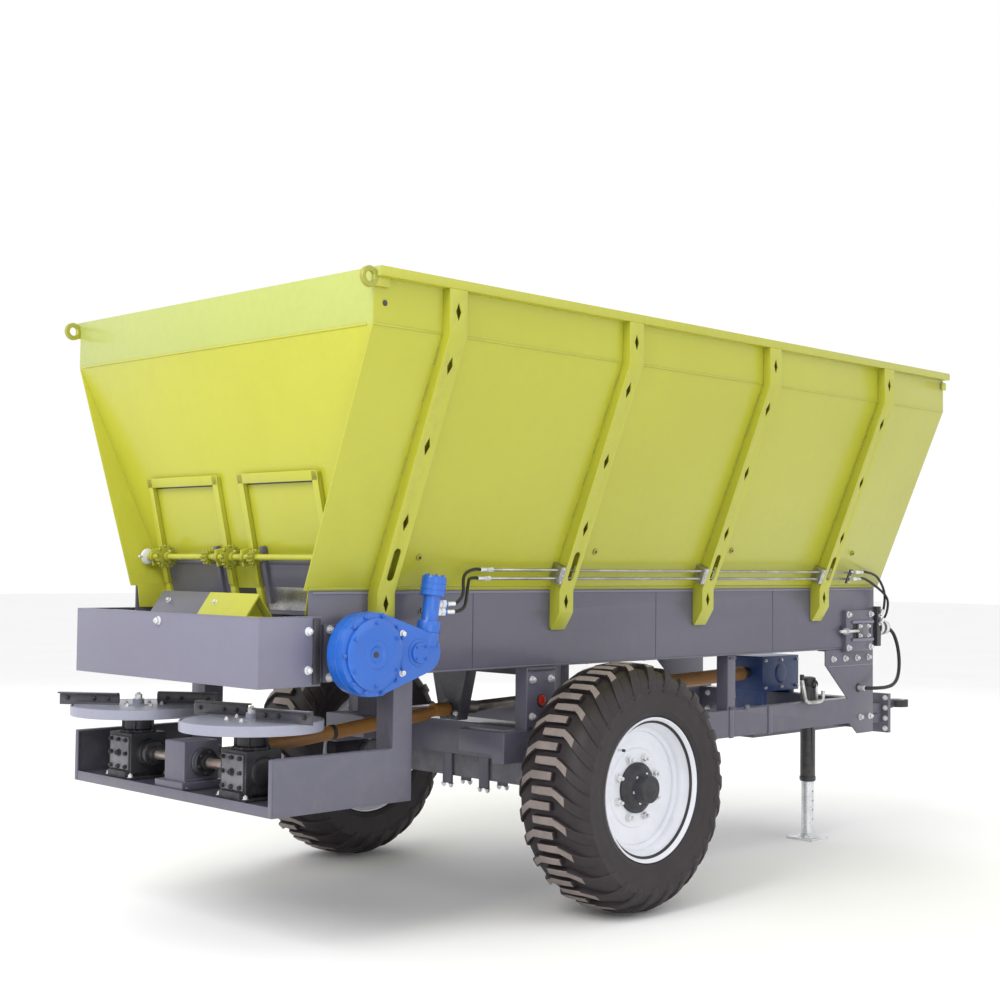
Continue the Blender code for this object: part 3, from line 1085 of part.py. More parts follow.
# ---------------------------------------------------------------- hydraulics
def hydraulics():
    """Two steel pipes in clamps along the right side, hoses at both ends and the valve block."""
    outs = []
    for k, z in enumerate(PIPE_Z):
        y = -(side_y(z) + PIPE_OFF)
        outs.append((y, z))
    first = rod("side_pipes", (PIPE_REAR, outs[0][0], outs[0][1]), (PIPE_FRONT, outs[0][0], outs[0][1]),
                PIPE_R, STEEL, 10)
    pieces = [rod("side_pipe_low", (PIPE_REAR, outs[1][0], outs[1][1]),
                  (PIPE_FRONT, outs[1][0], outs[1][1]), PIPE_R, STEEL, 10,
                  cutter=True)]
    lean = math.atan(SIDE_RUN)
    reach = PIPE_OFF * math.cos(lean) - GAP
    for k, x in enumerate(RIB_X[1:]):
        mid = Vector((x - RIB_WIDTH / 2 - 0.018 - GAP, (outs[0][0] + outs[1][0]) / 2,
                      (outs[0][1] + outs[1][1]) / 2))
        clamp = box(f"pipe_clamp_{k}", (-0.018, -0.022, -0.045), (0.018, reach, 0.045), DARK,
                    cutter=True)
        inward = Vector((0.0, math.cos(lean), math.sin(lean)))
        clamp.location = mid + inward * (reach - 0.022) / 2
        clamp.rotation_euler = (lean, 0.0, 0.0)
        pieces.append(clamp)
    combine(first, pieces)
    for number in range(2, 5):
        rib = bpy.data.objects[f"rib_right_{number}"]
        x = RIB_X[number - 1]
        mid = Vector((x, (outs[0][0] + outs[1][0]) / 2, (outs[0][1] + outs[1][1]) / 2))
        slot = box(f"rib_slot_{number}", (-0.12, -0.016, -0.040), (0.12, 0.016, 0.040), GREEN,
                   cutter=True)
        slot.location = mid
        slot.rotation_euler = (lean, 0.0, 0.0)
        combine(rib, [slot], "DIFFERENCE")

    block_y = -TROUGH_HALF_WIDTH + 0.02
    block = box("valve_block", (TROUGH_FRONT + GAP, block_y - 0.045, 1.150),
                (TROUGH_FRONT + 0.045, block_y + 0.085, 1.395),
                STEEL)
    spool = rod("valve_spool", (TROUGH_FRONT + 0.04, block_y - 0.005, 1.262),
                (TROUGH_FRONT + 0.150, block_y - 0.005, 1.262),
                0.045, STEEL, 20, cutter=True)
    combine(block, [spool])
    end = Vector((TROUGH_FRONT + 0.150 + HOSE_GAP, block_y - 0.005, 1.262))
    supply = [end, end + Vector((0.045, -0.001, -0.006)), end + Vector((0.098, -0.007, -0.042)),
              end + Vector((0.122, -0.019, -0.108)), end + Vector((0.118, -0.035, -0.186)),
              end + Vector((0.082, -0.056, -0.262)), end + Vector((0.020, -0.078, -0.318)),
              end + Vector((-0.062, -0.096, -0.350)), end + Vector((-0.150, -0.103, -0.361)),
              Vector((4.426, -RAIL_OUT - 0.090, 0.900)), Vector((4.375, -RAIL_OUT - 0.074, 0.900)),
              Vector((4.343, -RAIL_OUT - 0.036, 0.900)), Vector((4.336, -RAIL_OUT - HOSE_GAP, 0.900))]
    hose("hose_supply", supply, SUPPLY_R, (1, 0, 0), (0, 1, 0))

    for label, (y, z), drop, port in (("upper", outs[0], 0.0, 1.330), ("lower", outs[1], 0.02, 1.300)):
        start = Vector((PIPE_FRONT + HOSE_GAP, y, z))
        route = [start, start + Vector((0.090, 0.0, 0.0)),
                 Vector((4.46 + drop, y + 0.030, z - 0.030 - drop)),
                 Vector((TROUGH_FRONT + 0.060, block_y - 0.058 - drop, z - 0.120)),
                 Vector((TROUGH_FRONT + 0.050, block_y - 0.062 - drop, port + 0.060)),
                 Vector((TROUGH_FRONT + 0.028, block_y - 0.045 - HOSE_R - 2 * GAP, port + 0.010 - drop))]
        hose(f"hose_front_{label}", route, HOSE_R, (1, 0, 0), route[-1] - route[-2])

    y_mid = (DRIVE_FACE_Y + DRIVE_BACK_Y) / 2
    lean_dir = Vector((math.sin(MOTOR_LEAN), 0.0, math.cos(MOTOR_LEAN)))
    top = Vector((MOTOR_X + 0.020, y_mid, MOTOR_TOP))
    for label, (y, z), down, rise in (("upper", outs[0], 0.120, 0.0), ("lower", outs[1], 0.155, 0.055)):
        out = Vector((0.075, -0.020, 0.0))
        away = out.normalized()
        start = top - lean_dir * down + out + away * HOSE_GAP
        route = [start, start + away * 0.040,
                 start + Vector((0.085 + rise * 0.3, -0.010, 0.040 - rise * 0.3)),
                 Vector((0.835 + rise * 0.6, (start.y + y) / 2, z - 0.030)), Vector((0.935, y, z)),
                 Vector((PIPE_REAR - HOSE_GAP, y, z))]
        hose(f"hose_motor_{label}", route, HOSE_R, away, (1, 0, 0))



hopper_sides()
end_wall("hopper_rear", 0.0, 1, gate_openings())
end_wall("hopper_front", HOPPER_LENGTH, -1, [])
ribs()
gates()
gate_shaft()
trough()
conveyor()
apron()
divider()
tray()
gearboxes()
discs()
conveyor_drive()
chassis()
drawbar()
axle()
wheels()
jack()
driveline()
hydraulics()
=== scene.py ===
"""Trailed manure spreader: every visible piece of the machine, finished round its CAD frame."""
import math

import bmesh
import bpy
from mathutils import Matrix, Vector


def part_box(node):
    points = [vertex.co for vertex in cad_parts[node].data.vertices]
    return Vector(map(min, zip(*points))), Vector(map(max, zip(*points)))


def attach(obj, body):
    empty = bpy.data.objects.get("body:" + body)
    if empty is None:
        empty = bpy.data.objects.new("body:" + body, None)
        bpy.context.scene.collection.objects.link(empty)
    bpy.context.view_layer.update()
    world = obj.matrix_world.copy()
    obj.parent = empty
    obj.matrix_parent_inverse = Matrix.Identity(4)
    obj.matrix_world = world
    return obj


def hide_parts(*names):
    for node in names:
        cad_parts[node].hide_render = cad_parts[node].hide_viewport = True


bl_info = {"name": "Manure spreader builder", "version": (1, 0, 0), "blender": (4, 5, 0),
        "location": "View3D > Sidebar > Spreader",
        "description": "Models and paints the pieces of a trailed manure spreader",
        "category": "Add Mesh", }

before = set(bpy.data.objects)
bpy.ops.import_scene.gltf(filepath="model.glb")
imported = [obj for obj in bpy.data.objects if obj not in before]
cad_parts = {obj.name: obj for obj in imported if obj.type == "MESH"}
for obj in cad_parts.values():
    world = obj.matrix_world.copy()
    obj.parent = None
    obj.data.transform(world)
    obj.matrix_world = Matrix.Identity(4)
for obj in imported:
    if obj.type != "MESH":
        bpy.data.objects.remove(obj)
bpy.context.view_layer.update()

# The pieces are set out from the hopper's rear edge, as the frame was.
HOPPER_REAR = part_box("hopper_side_right")[0].x
RIM_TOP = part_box("hopper_side_right")[1].z
HOPPER_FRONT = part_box("hopper_side_right")[1].x - HOPPER_REAR
WHEEL = {"right": sum(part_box("tyre_right"), Vector()) / 2, "left": sum(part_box("tyre_left"), Vector()) / 2}
FOLD_Z = 2.585
TROUGH_TOP = 1.512
HOPPER_HALF = 1.115
TROUGH_HALF = 0.663
SIDE_RUN = (HOPPER_HALF - TROUGH_HALF) / (FOLD_Z - TROUGH_TOP)
SIDE_LEAN = math.atan(SIDE_RUN)
END_SETBACK = 0.240
END_LEAN = math.atan(END_SETBACK / (FOLD_Z - TROUGH_TOP))
RIB_X = [(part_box(f"rib_right_{k}")[0].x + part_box(f"rib_right_{k}")[1].x) / 2 - HOPPER_REAR
        for k in range(1, 5)]

# The conveyor's two shafts and its chains, and the outer face of its reduction box.
DRIVE_X, IDLER_X, SHAFT_Z = 0.255, 4.330, 1.250
CHAIN_Y, CHAIN_RADIUS = 0.520, 0.081
DRIVE_FACE = -0.858

# The bevel boxes, the outer face of the rails, the jack, and the bearing of the drive line.
BOX_X, BOX_Y, BOX_Z = -0.055, 0.435, 0.757
RAIL_HALF = 0.660
JACK_X, JACK_Y = 4.030, -0.500
HANGER_Z = 0.890

# The motor's top and lean, how far its ports are down from there, and which way they face.
MOTOR_TOP = (0.632, -0.815, 1.575)
MOTOR_LEAN = Vector((math.sin(math.radians(8)), 0, math.cos(math.radians(8))))
MOTOR_PORTS = (0.120, 0.155)
PORT_OUT = Vector((0.075, -0.020, 0.0))


def at(x, y, z):
    """A place measured from the hopper's rear edge, as a point in the frame."""
    return Vector((HOPPER_REAR + x, y, z))


def side_y(z):
    """How far the sloping side wall is from the middle at height z."""
    return TROUGH_HALF + (z - TROUGH_TOP) * SIDE_RUN


def on_rear(y, z, off=0.0):
    """A point over the rear wall's slope, off its face by the given distance."""
    return at((FOLD_Z - z) * math.tan(END_LEAN) - off * math.cos(END_LEAN), y, z - off * math.sin(END_LEAN))


# ------------------------------------------------------------------ sizes and colours
def length(name, text, value):
    """A size that a user may change."""
    return bpy.props.FloatProperty(name=name, description=text, default=value, min=0.0, unit="LENGTH")


def colour(name, text, value):
    """A paint colour that a user may change, in linear light."""
    return bpy.props.FloatVectorProperty(name=name, description=text, default=value, size=3, min=0.0,
            max=1.0, subtype="COLOR")


class SpreaderSizes(bpy.types.PropertyGroup):
    """Sizes of the fitted pieces."""
    edge: length("Plate edge", "Rounding of plate edges", 0.0022)
    bolt: length("Bolt head", "Width across the flats of a chassis bolt", 0.024)
    small_bolt: length("Small bolt head", "Width across the flats of a cover bolt", 0.017)
    stud_circle: length("Stud circle", "Radius of the wheel studs", 0.146)
    lug_height: length("Lug height", "Height of the tread lugs over the casing", 0.026)
    lugs: bpy.props.IntProperty(name="Lugs", description="Tread lugs on each side of a tyre", default=27,
            min=8, max=60)
    ring: length("Lifting ring", "Outer radius of the lifting rings", 0.043)


class SpreaderColours(bpy.types.PropertyGroup):
    """Paints and bare finishes."""
    green: colour("Hopper green", "Lime green of the hopper", (0.445, 0.452, 0.036))
    grey: colour("Chassis grey", "Blue grey of the chassis and trough", (0.104, 0.101, 0.142))
    blue: colour("Drive blue", "Blue of the conveyor drive", (0.008, 0.125, 0.560))
    white: colour("Rim white", "White of the wheel rims", (0.760, 0.775, 0.830))
    guard: colour("Guard ochre", "Ochre of the shaft guards", (0.300, 0.130, 0.018))
    rubber: colour("Tyre rubber", "Brown black of the tyres", (0.0145, 0.0095, 0.0120))
    dust: colour("Lug dust", "Dry dust on the tread lugs", (0.300, 0.250, 0.235))


# ------------------------------------------------------------------ shader node groups
def wire(tree, kind, inputs=(), **settings):
    """A node with its settings, and its inputs set to values or joined to sockets."""
    made = tree.nodes.new(kind)
    for name, value in settings.items():
        setattr(made, name, value)
    for name, value in dict(inputs).items():
        if isinstance(value, bpy.types.NodeSocket):
            tree.links.new(value, made.inputs[name])
        else:
            made.inputs[name].default_value = value
    return made


def node_group(name, inputs, outputs):
    """An empty shader group with its named sockets, and its two end nodes."""
    tree = bpy.data.node_groups.new(name, "ShaderNodeTree")
    for label, kind, value in inputs:
        socket = tree.interface.new_socket(label, in_out="INPUT", socket_type=kind)
        socket.default_value = value
    for label, kind in outputs:
        tree.interface.new_socket(label, in_out="OUTPUT", socket_type=kind)
    return tree, tree.nodes.new("NodeGroupInput"), tree.nodes.new("NodeGroupOutput")


def blend_colours(tree, factor, a, b, mode="MIX"):
    """The colour socket of two colours mixed by a factor."""
    mix = tree.nodes.new("ShaderNodeMix")
    mix.data_type = "RGBA"
    mix.blend_type = mode
    for socket, value in ((mix.inputs[0], factor), (mix.inputs[6], a), (mix.inputs[7], b)):
        if isinstance(value, bpy.types.NodeSocket):
            tree.links.new(value, socket)
        else:
            socket.default_value = value
    return mix.outputs[2]


def sums(tree, how, a, b):
    """The value socket of a sum, product or power of two values."""
    made = tree.nodes.new("ShaderNodeMath")
    made.operation = how
    for socket, value in zip(made.inputs, (a, b)):
        if isinstance(value, bpy.types.NodeSocket):
            tree.links.new(value, socket)
        else:
            socket.default_value = value
    return made.outputs[0]


def ranged(tree, value, low, high, to_low=0.0, to_high=1.0):
    """A value mapped from one range to another, and held at its ends."""
    made = wire(tree, "ShaderNodeMapRange", {0: value, 1: low, 2: high, 3: to_low, 4: to_high})
    return made.outputs[0]


def noise(tree, vector, scale, detail=3.0, rough=0.55):
    """A noise value on the piece's own coordinates."""
    made = wire(tree, "ShaderNodeTexNoise",
            {"Vector": vector, "Scale": scale, "Detail": detail, "Roughness": rough})
    return made.outputs["Fac"]


def stretched(tree, vector, scale):
    """Coordinates stretched along the axes."""
    made = wire(tree, "ShaderNodeMapping", {"Vector": vector, "Scale": scale})
    return made.outputs[0]


def group_paint():
    """Sprayed paint: broad tone changes, faint runs, orange peel and dust towards the ground."""
    tree, given, out = node_group("sprayed_paint",
            [("Colour", "NodeSocketColor", (0.5, 0.5, 0.5, 1)),
            ("Shade", "NodeSocketColor", (0.3, 0.3, 0.3, 1)),
            ("Dust", "NodeSocketColor", (0.3, 0.26, 0.2, 1)), ("Dust Amount", "NodeSocketFloat", 0.2),
            ("Roughness", "NodeSocketFloat", 0.35)],
            [("Colour", "NodeSocketColor"), ("Roughness", "NodeSocketFloat"),
            ("Height", "NodeSocketFloat")])
    spot = tree.nodes.new("ShaderNodeTexCoord").outputs["Object"]
    broad = ranged(tree, noise(tree, spot, 0.9, 3.0), 0.38, 0.66)
    runs = ranged(tree, noise(tree, stretched(tree, spot, (7.0, 7.0, 0.7)), 1.6, 4.0), 0.48, 0.78)
    fine = noise(tree, spot, 38.0, 4.0)
    tone = blend_colours(tree, sums(tree, "MULTIPLY", broad, 0.55), given.outputs["Colour"],
            given.outputs["Shade"])
    tone = blend_colours(tree, sums(tree, "MULTIPLY", runs, 0.22), tone, given.outputs["Shade"])
    height = wire(tree, "ShaderNodeSeparateXYZ", {0: spot}).outputs[2]
    low = ranged(tree, height, 0.15, 1.7, 1.0, 0.12)
    specks = ranged(tree, noise(tree, spot, 11.0, 6.0, 0.7), 0.46, 0.74)
    dust = sums(tree, "MULTIPLY", sums(tree, "MULTIPLY", low, specks), given.outputs["Dust Amount"])
    tree.links.new(blend_colours(tree, dust, tone, given.outputs["Dust"]), out.inputs["Colour"])
    rough = sums(tree, "ADD", given.outputs["Roughness"], sums(tree, "MULTIPLY", fine, 0.10))
    rough = sums(tree, "ADD", rough, sums(tree, "MULTIPLY", dust, 0.45))
    tree.links.new(rough, out.inputs["Roughness"])
    peel = sums(tree, "ADD", sums(tree, "MULTIPLY", noise(tree, spot, 190.0, 2.0), 0.35),
            sums(tree, "MULTIPLY", noise(tree, spot, 2.6, 2.0), 1.0))
    tree.links.new(peel, out.inputs["Height"])
    return tree


def group_wear_and_shade():
    """Paint rubbed off along outer corners, and painted shade darkening the inner ones."""
    tree, given, out = node_group("corner_wear",
            [("Colour", "NodeSocketColor", (0.5, 0.5, 0.5, 1)),
            ("Under", "NodeSocketColor", (0.2, 0.2, 0.2, 1)),
            ("Grime", "NodeSocketColor", (0.03, 0.03, 0.03, 1)), ("Amount", "NodeSocketFloat", 0.5)],
            [("Colour", "NodeSocketColor"), ("Mask", "NodeSocketFloat")])
    spot = tree.nodes.new("ShaderNodeTexCoord").outputs["Object"]
    sharp = tree.nodes.new("ShaderNodeNewGeometry").outputs["Pointiness"]
    outer = ranged(tree, sharp, 0.53, 0.62)
    inner = ranged(tree, sharp, 0.47, 0.40)
    broken = ranged(tree, noise(tree, spot, 24.0, 5.0, 0.7), 0.42, 0.62)
    mask = sums(tree, "MULTIPLY", sums(tree, "MULTIPLY", outer, broken), given.outputs["Amount"])
    # Inner corners are darkened towards a darker copy of the colour: painted shade in the hollows.
    held = sums(tree, "MULTIPLY", inner, sums(tree, "MULTIPLY", given.outputs["Amount"], 0.6))
    tone = blend_colours(tree, held, given.outputs["Colour"], given.outputs["Grime"])
    tree.links.new(blend_colours(tree, mask, tone, given.outputs["Under"]), out.inputs["Colour"])
    tree.links.new(mask, out.inputs["Mask"])
    return tree


def group_casting():
    """Sand-cast or bare metal: pitted skin, blotched tone and rubbed high spots."""
    tree, given, out = node_group("cast_skin",
            [("Colour", "NodeSocketColor", (0.1, 0.1, 0.1, 1)),
            ("Light", "NodeSocketColor", (0.2, 0.2, 0.2, 1)), ("Scale", "NodeSocketFloat", 60.0),
            ("Roughness", "NodeSocketFloat", 0.5)],
            [("Colour", "NodeSocketColor"), ("Roughness", "NodeSocketFloat"),
            ("Height", "NodeSocketFloat")])
    spot = tree.nodes.new("ShaderNodeTexCoord").outputs["Object"]
    grain = wire(tree, "ShaderNodeTexNoise",
            {"Vector": spot, "Scale": given.outputs["Scale"], "Detail": 5.0,
            "Roughness": 0.65}).outputs["Fac"]
    blotch = ranged(tree, noise(tree, spot, 9.0, 4.0), 0.4, 0.7)
    tone = blend_colours(tree, blotch, given.outputs["Colour"], given.outputs["Light"])
    tree.links.new(blend_colours(tree, ranged(tree, grain, 0.6, 0.85, 0.0, 0.6), tone,
            given.outputs["Light"]), out.inputs["Colour"])
    tree.links.new(sums(tree, "ADD", given.outputs["Roughness"],
            ranged(tree, grain, 0.3, 0.7, -0.08, 0.12)), out.inputs["Roughness"])
    tree.links.new(grain, out.inputs["Height"])
    return tree


def group_rubber():
    """Moulded rubber with a fine skin, faint scuffs and a film of dust."""
    tree, given, out = node_group("moulded_rubber",
            [("Colour", "NodeSocketColor", (0.02, 0.02, 0.02, 1)),
            ("Dust", "NodeSocketColor", (0.3, 0.27, 0.23, 1)), ("Dust Amount", "NodeSocketFloat", 0.2)],
            [("Colour", "NodeSocketColor"), ("Roughness", "NodeSocketFloat"),
            ("Height", "NodeSocketFloat")])
    spot = tree.nodes.new("ShaderNodeTexCoord").outputs["Object"]
    film = ranged(tree, noise(tree, spot, 5.0, 6.0, 0.7), 0.42, 0.72)
    scuff = ranged(tree, noise(tree, stretched(tree, spot, (3.0, 30.0, 3.0)), 6.0, 5.0), 0.5, 0.75)
    mask = sums(tree, "MULTIPLY", sums(tree, "ADD", film, sums(tree, "MULTIPLY", scuff, 0.35)),
            given.outputs["Dust Amount"])
    tree.links.new(blend_colours(tree, mask, given.outputs["Colour"], given.outputs["Dust"]),
            out.inputs["Colour"])
    tree.links.new(ranged(tree, mask, 0.0, 0.6, 0.58, 0.88), out.inputs["Roughness"])
    tree.links.new(noise(tree, spot, 150.0, 4.0, 0.6), out.inputs["Height"])
    return tree


GROUPS = {}
FINISH = {}


def new_material(name):
    """An empty material, its tree and its shader."""
    made = bpy.data.materials.new(name)
    made.use_nodes = True
    FINISH[name] = made
    return made.node_tree, made.node_tree.nodes["Principled BSDF"]


def placed(tree, group, inputs):
    """A shader group placed in a material with its own values."""
    made = tree.nodes.new("ShaderNodeGroup")
    made.node_tree = GROUPS[group]
    for name, value in inputs.items():
        if isinstance(value, bpy.types.NodeSocket):
            tree.links.new(value, made.inputs[name])
        else:
            made.inputs[name].default_value = (*value, 1.0) if isinstance(value, (tuple, list)) else value
    return made


def bumped(tree, shader, height, distance, strength=0.6):
    """Join a height to the shader's normal."""
    bump = wire(tree, "ShaderNodeBump", {"Height": height, "Distance": distance, "Strength": strength})
    tree.links.new(bump.outputs[0], shader.inputs["Normal"])


def paint_finish(name, tone, shade, roughness, dust, wear, coat=0.25):
    """A sprayed coat of paint with worn outer corners and painted shade in the inner ones."""
    tree, shader = new_material(name)
    film = placed(tree, "sprayed_paint", {"Colour": tone, "Shade": shade, "Dust": (0.32, 0.28, 0.22),
            "Dust Amount": dust, "Roughness": roughness})
    worn = placed(tree, "corner_wear", {"Colour": film.outputs["Colour"],
            "Under": tuple(c * 0.5 + 0.06 for c in tone), "Grime": tuple(c * 0.35 for c in tone),
            "Amount": wear})
    tree.links.new(worn.outputs["Colour"], shader.inputs["Base Color"])
    tree.links.new(film.outputs["Roughness"], shader.inputs["Roughness"])
    bumped(tree, shader, film.outputs["Height"], 0.0016, 0.35)
    shader.inputs["Coat Weight"].default_value = coat
    shader.inputs["Coat Roughness"].default_value = 0.18


def metal_finish(name, tone, light, roughness, metal, scale, depth=0.0006):
    """A cast, rolled or plated metal, with rubbed corners and painted shade in the inner ones."""
    tree, shader = new_material(name)
    skin = placed(tree, "cast_skin",
            {"Colour": tone, "Light": light, "Scale": scale, "Roughness": roughness})
    worn = placed(tree, "corner_wear", {"Colour": skin.outputs["Colour"],
            "Under": tuple(min(1.0, c * 1.8) for c in light), "Grime": tuple(c * 0.3 for c in tone),
            "Amount": 0.5})
    tree.links.new(worn.outputs["Colour"], shader.inputs["Base Color"])
    tree.links.new(skin.outputs["Roughness"], shader.inputs["Roughness"])
    bumped(tree, shader, skin.outputs["Height"], depth)
    shader.inputs["Metallic"].default_value = metal


def rubber_finish(name, tone, dust, amount, depth=0.0008):
    """Rubber with dust on it."""
    tree, shader = new_material(name)
    skin = placed(tree, "moulded_rubber", {"Colour": tone, "Dust": dust, "Dust Amount": amount})
    tree.links.new(skin.outputs["Colour"], shader.inputs["Base Color"])
    tree.links.new(skin.outputs["Roughness"], shader.inputs["Roughness"])
    bumped(tree, shader, skin.outputs["Height"], depth)


def mix_finishes():
    """Build the shader groups and every finish of the machine."""
    paint = bpy.context.scene.spreader_colours
    GROUPS.update(sprayed_paint=group_paint(), corner_wear=group_wear_and_shade(), cast_skin=group_casting(),
            moulded_rubber=group_rubber())

    def toned(name, share):
        return tuple(c * share for c in getattr(paint, name))

    paint_finish("green_paint", tuple(paint.green), (0.395, 0.402, 0.026), 0.30, 0.05, 0.25)
    # A paler, bluer copy of the green: painted highlight on the rear-facing band above the fold.
    paint_finish("green_pale", (0.405, 0.455, 0.112), (0.380, 0.430, 0.098), 0.28, 0.03, 0.25)
    # A darker copy of the green: painted shade on welds, seams, plugs, the ring plates and the shaft's small
    # gear.
    paint_finish("green_shade", toned("green", 0.74), toned("green", 0.6), 0.34, 0.08, 0.30)
    paint_finish("grey_paint", tuple(paint.grey), toned("grey", 0.78), 0.36, 0.16, 0.35)
    # A lighter copy of the grey: painted light on lips, slide bars, the rear apron and the gusset bends.
    paint_finish("grey_light", toned("grey", 1.75), toned("grey", 1.45), 0.38, 0.10, 0.35)
    # A darker copy of the grey: dark joints and seams, and painted shade inside the tray.
    paint_finish("grey_dark", toned("grey", 0.42), toned("grey", 0.30), 0.42, 0.22, 0.35)
    paint_finish("blue_paint", tuple(paint.blue), (0.006, 0.080, 0.400), 0.28, 0.08, 0.35, 0.4)
    # A much darker copy of the blue: painted shade on the front gearbox.
    paint_finish("blue_shade", toned("blue", 0.30), toned("blue", 0.20), 0.40, 0.25, 0.40, 0.2)
    paint_finish("white_paint", tuple(paint.white), (0.640, 0.660, 0.740), 0.28, 0.10, 0.10, 0.4)
    paint_finish("dark_paint", (0.028, 0.027, 0.032), (0.018, 0.017, 0.021), 0.40, 0.20, 0.30)
    paint_finish("disc_paint", (0.310, 0.320, 0.405), (0.230, 0.240, 0.310), 0.34, 0.06, 0.45)
    paint_finish("guard_plastic", tuple(paint.guard), toned("guard", 0.55), 0.40, 0.30, 0.20, 0.05)
    paint_finish("warning_red", (0.480, 0.030, 0.015), (0.300, 0.015, 0.010), 0.20, 0.05, 0.10, 0.6)
    paint_finish("black_plastic", (0.012, 0.012, 0.014), (0.020, 0.020, 0.022), 0.42, 0.10, 0.10, 0.0)
    metal_finish("cast_iron", (0.026, 0.026, 0.031), (0.050, 0.050, 0.056), 0.46, 0.25, 70.0, 0.0012)
    metal_finish("cover_iron", (0.135, 0.135, 0.155), (0.195, 0.195, 0.215), 0.48, 0.20, 90.0, 0.0008)
    metal_finish("bare_steel", (0.340, 0.335, 0.330), (0.520, 0.515, 0.505), 0.30, 0.95, 120.0, 0.0003)
    metal_finish("zinc_plate", (0.600, 0.610, 0.630), (0.780, 0.790, 0.800), 0.30, 0.45, 140.0, 0.0002)
    metal_finish("shaft_steel", (0.300, 0.235, 0.215), (0.520, 0.450, 0.420), 0.34, 0.80, 60.0, 0.0004)
    metal_finish("worn_chain", (0.130, 0.115, 0.105), (0.260, 0.240, 0.220), 0.42, 0.85, 55.0, 0.0010)
    rubber_finish("tyre_rubber", tuple(paint.rubber), tuple(paint.dust), 0.035)
    rubber_finish("lug_top", tuple(c * 0.62 for c in paint.dust), tuple(paint.dust), 0.85)
    rubber_finish("hose_rubber", (0.010, 0.010, 0.011), (0.16, 0.15, 0.14), 0.08, 0.0004)


# ------------------------------------------------------------------ hand tools
def rest_all():
    """Back to object mode with nothing selected."""
    if bpy.context.object and bpy.context.object.mode != "OBJECT":
        bpy.ops.object.mode_set(mode="OBJECT")
    bpy.ops.object.select_all(action="DESELECT")


def only(obj):
    """Select one object and make it the active one."""
    rest_all()
    obj.select_set(True)
    bpy.context.view_layer.objects.active = obj
    return obj


def edit(obj, select=True):
    """Enter edit mode with all or nothing selected."""
    only(obj)
    bpy.ops.object.mode_set(mode="EDIT")
    bpy.ops.mesh.select_mode(type="FACE")
    bpy.ops.mesh.select_all(action="SELECT" if select else "DESELECT")


def leave():
    """Leave edit mode."""
    bpy.ops.object.mode_set(mode="OBJECT")


def pick(obj, wanted):
    """In edit mode, select the faces that a test of (middle, normal) wants."""
    bpy.ops.mesh.select_all(action="DESELECT")
    work = bmesh.from_edit_mesh(obj.data)
    for face in work.faces:
        face.select_set(wanted(face.calc_center_median(), face.normal))
    bmesh.update_edit_mesh(obj.data)


def settle(name):
    """Name the active object, put its place and turn into its mesh, and hand it back."""
    obj = bpy.context.object
    obj.name = obj.data.name = name
    bpy.ops.object.transform_apply(location=True, rotation=True, scale=True)
    return obj


def soften(obj, width, steps=2, angle=38.0):
    """Round the sharp edges with an applied bevel."""
    only(obj)
    bevel = obj.modifiers.new("soft_edges", "BEVEL")
    bevel.width = width
    bevel.segments = steps
    bevel.limit_method = "ANGLE"
    bevel.angle_limit = math.radians(angle)
    bpy.ops.object.modifier_apply(modifier=bevel.name)
    return obj


def coat(obj, finish):
    """Paint a whole piece."""
    obj.data.materials.clear()
    obj.data.materials.append(FINISH[finish])
    return obj


def coat_faces(obj, finish, wanted):
    """Paint the faces that a test of (middle, normal) wants."""
    obj.data.materials.append(FINISH[finish])
    last = len(obj.data.materials) - 1
    for face in obj.data.polygons:
        if wanted(face.center, face.normal):
            face.material_index = last
    return obj


def block(name, low, high, finish, soft=0.002, steps=2):
    """A bar or plate between two corners, its edges rounded."""
    low, high = Vector(map(min, low, high)), Vector(map(max, low, high))
    rest_all()
    bpy.ops.mesh.primitive_cube_add(size=1.0, location=(low + high) / 2)
    bpy.context.object.scale = high - low
    obj = settle(name)
    if soft:
        soften(obj, min(soft, 0.45 * min(high - low)), steps)
    return coat(obj, finish)


def rod(name, start, end, radius, finish, sides=28, soft=0.0):
    """A round bar between two points."""
    start, end = Vector(start), Vector(end)
    span = end - start
    rest_all()
    bpy.ops.mesh.primitive_cone_add(vertices=sides, radius1=radius, radius2=radius, depth=span.length,
            location=(start + end) / 2, rotation=span.to_track_quat("Z", "Y").to_euler())
    obj = settle(name)
    if soft:
        soften(obj, soft)
    return coat(obj, finish)


def drawn(name, points):
    """A chain of edges drawn through points, left in edit mode with all of it selected."""
    rest_all()
    bpy.ops.mesh.primitive_plane_add(size=0.01, location=points[0])
    obj = settle(name)
    edit(obj)
    bpy.ops.mesh.select_mode(type="VERT")
    bpy.ops.mesh.merge(type="CENTER")
    bpy.ops.mesh.select_all(action="SELECT")
    for a, b in zip(points, points[1:]):
        bpy.ops.mesh.extrude_vertices_move(TRANSFORM_OT_translate={"value": b - a})
    bpy.ops.mesh.select_all(action="SELECT")
    return obj


def turned(name, profile, centre, axis, finish, steps=64):
    """A profile of (radius, distance along the axis) spun into a round piece."""
    turn = Vector(axis).to_track_quat("Z", "Y")
    points = [Vector(centre) + turn @ Vector((r, 0.0, h)) for r, h in profile]
    obj = drawn(name, points)
    bpy.ops.mesh.spin(steps=steps, angle=2 * math.pi, center=centre, axis=axis)
    bpy.ops.mesh.select_all(action="SELECT")
    bpy.ops.mesh.remove_doubles(threshold=0.00002)
    bpy.ops.mesh.normals_make_consistent(inside=False)
    leave()
    return coat(obj, finish)


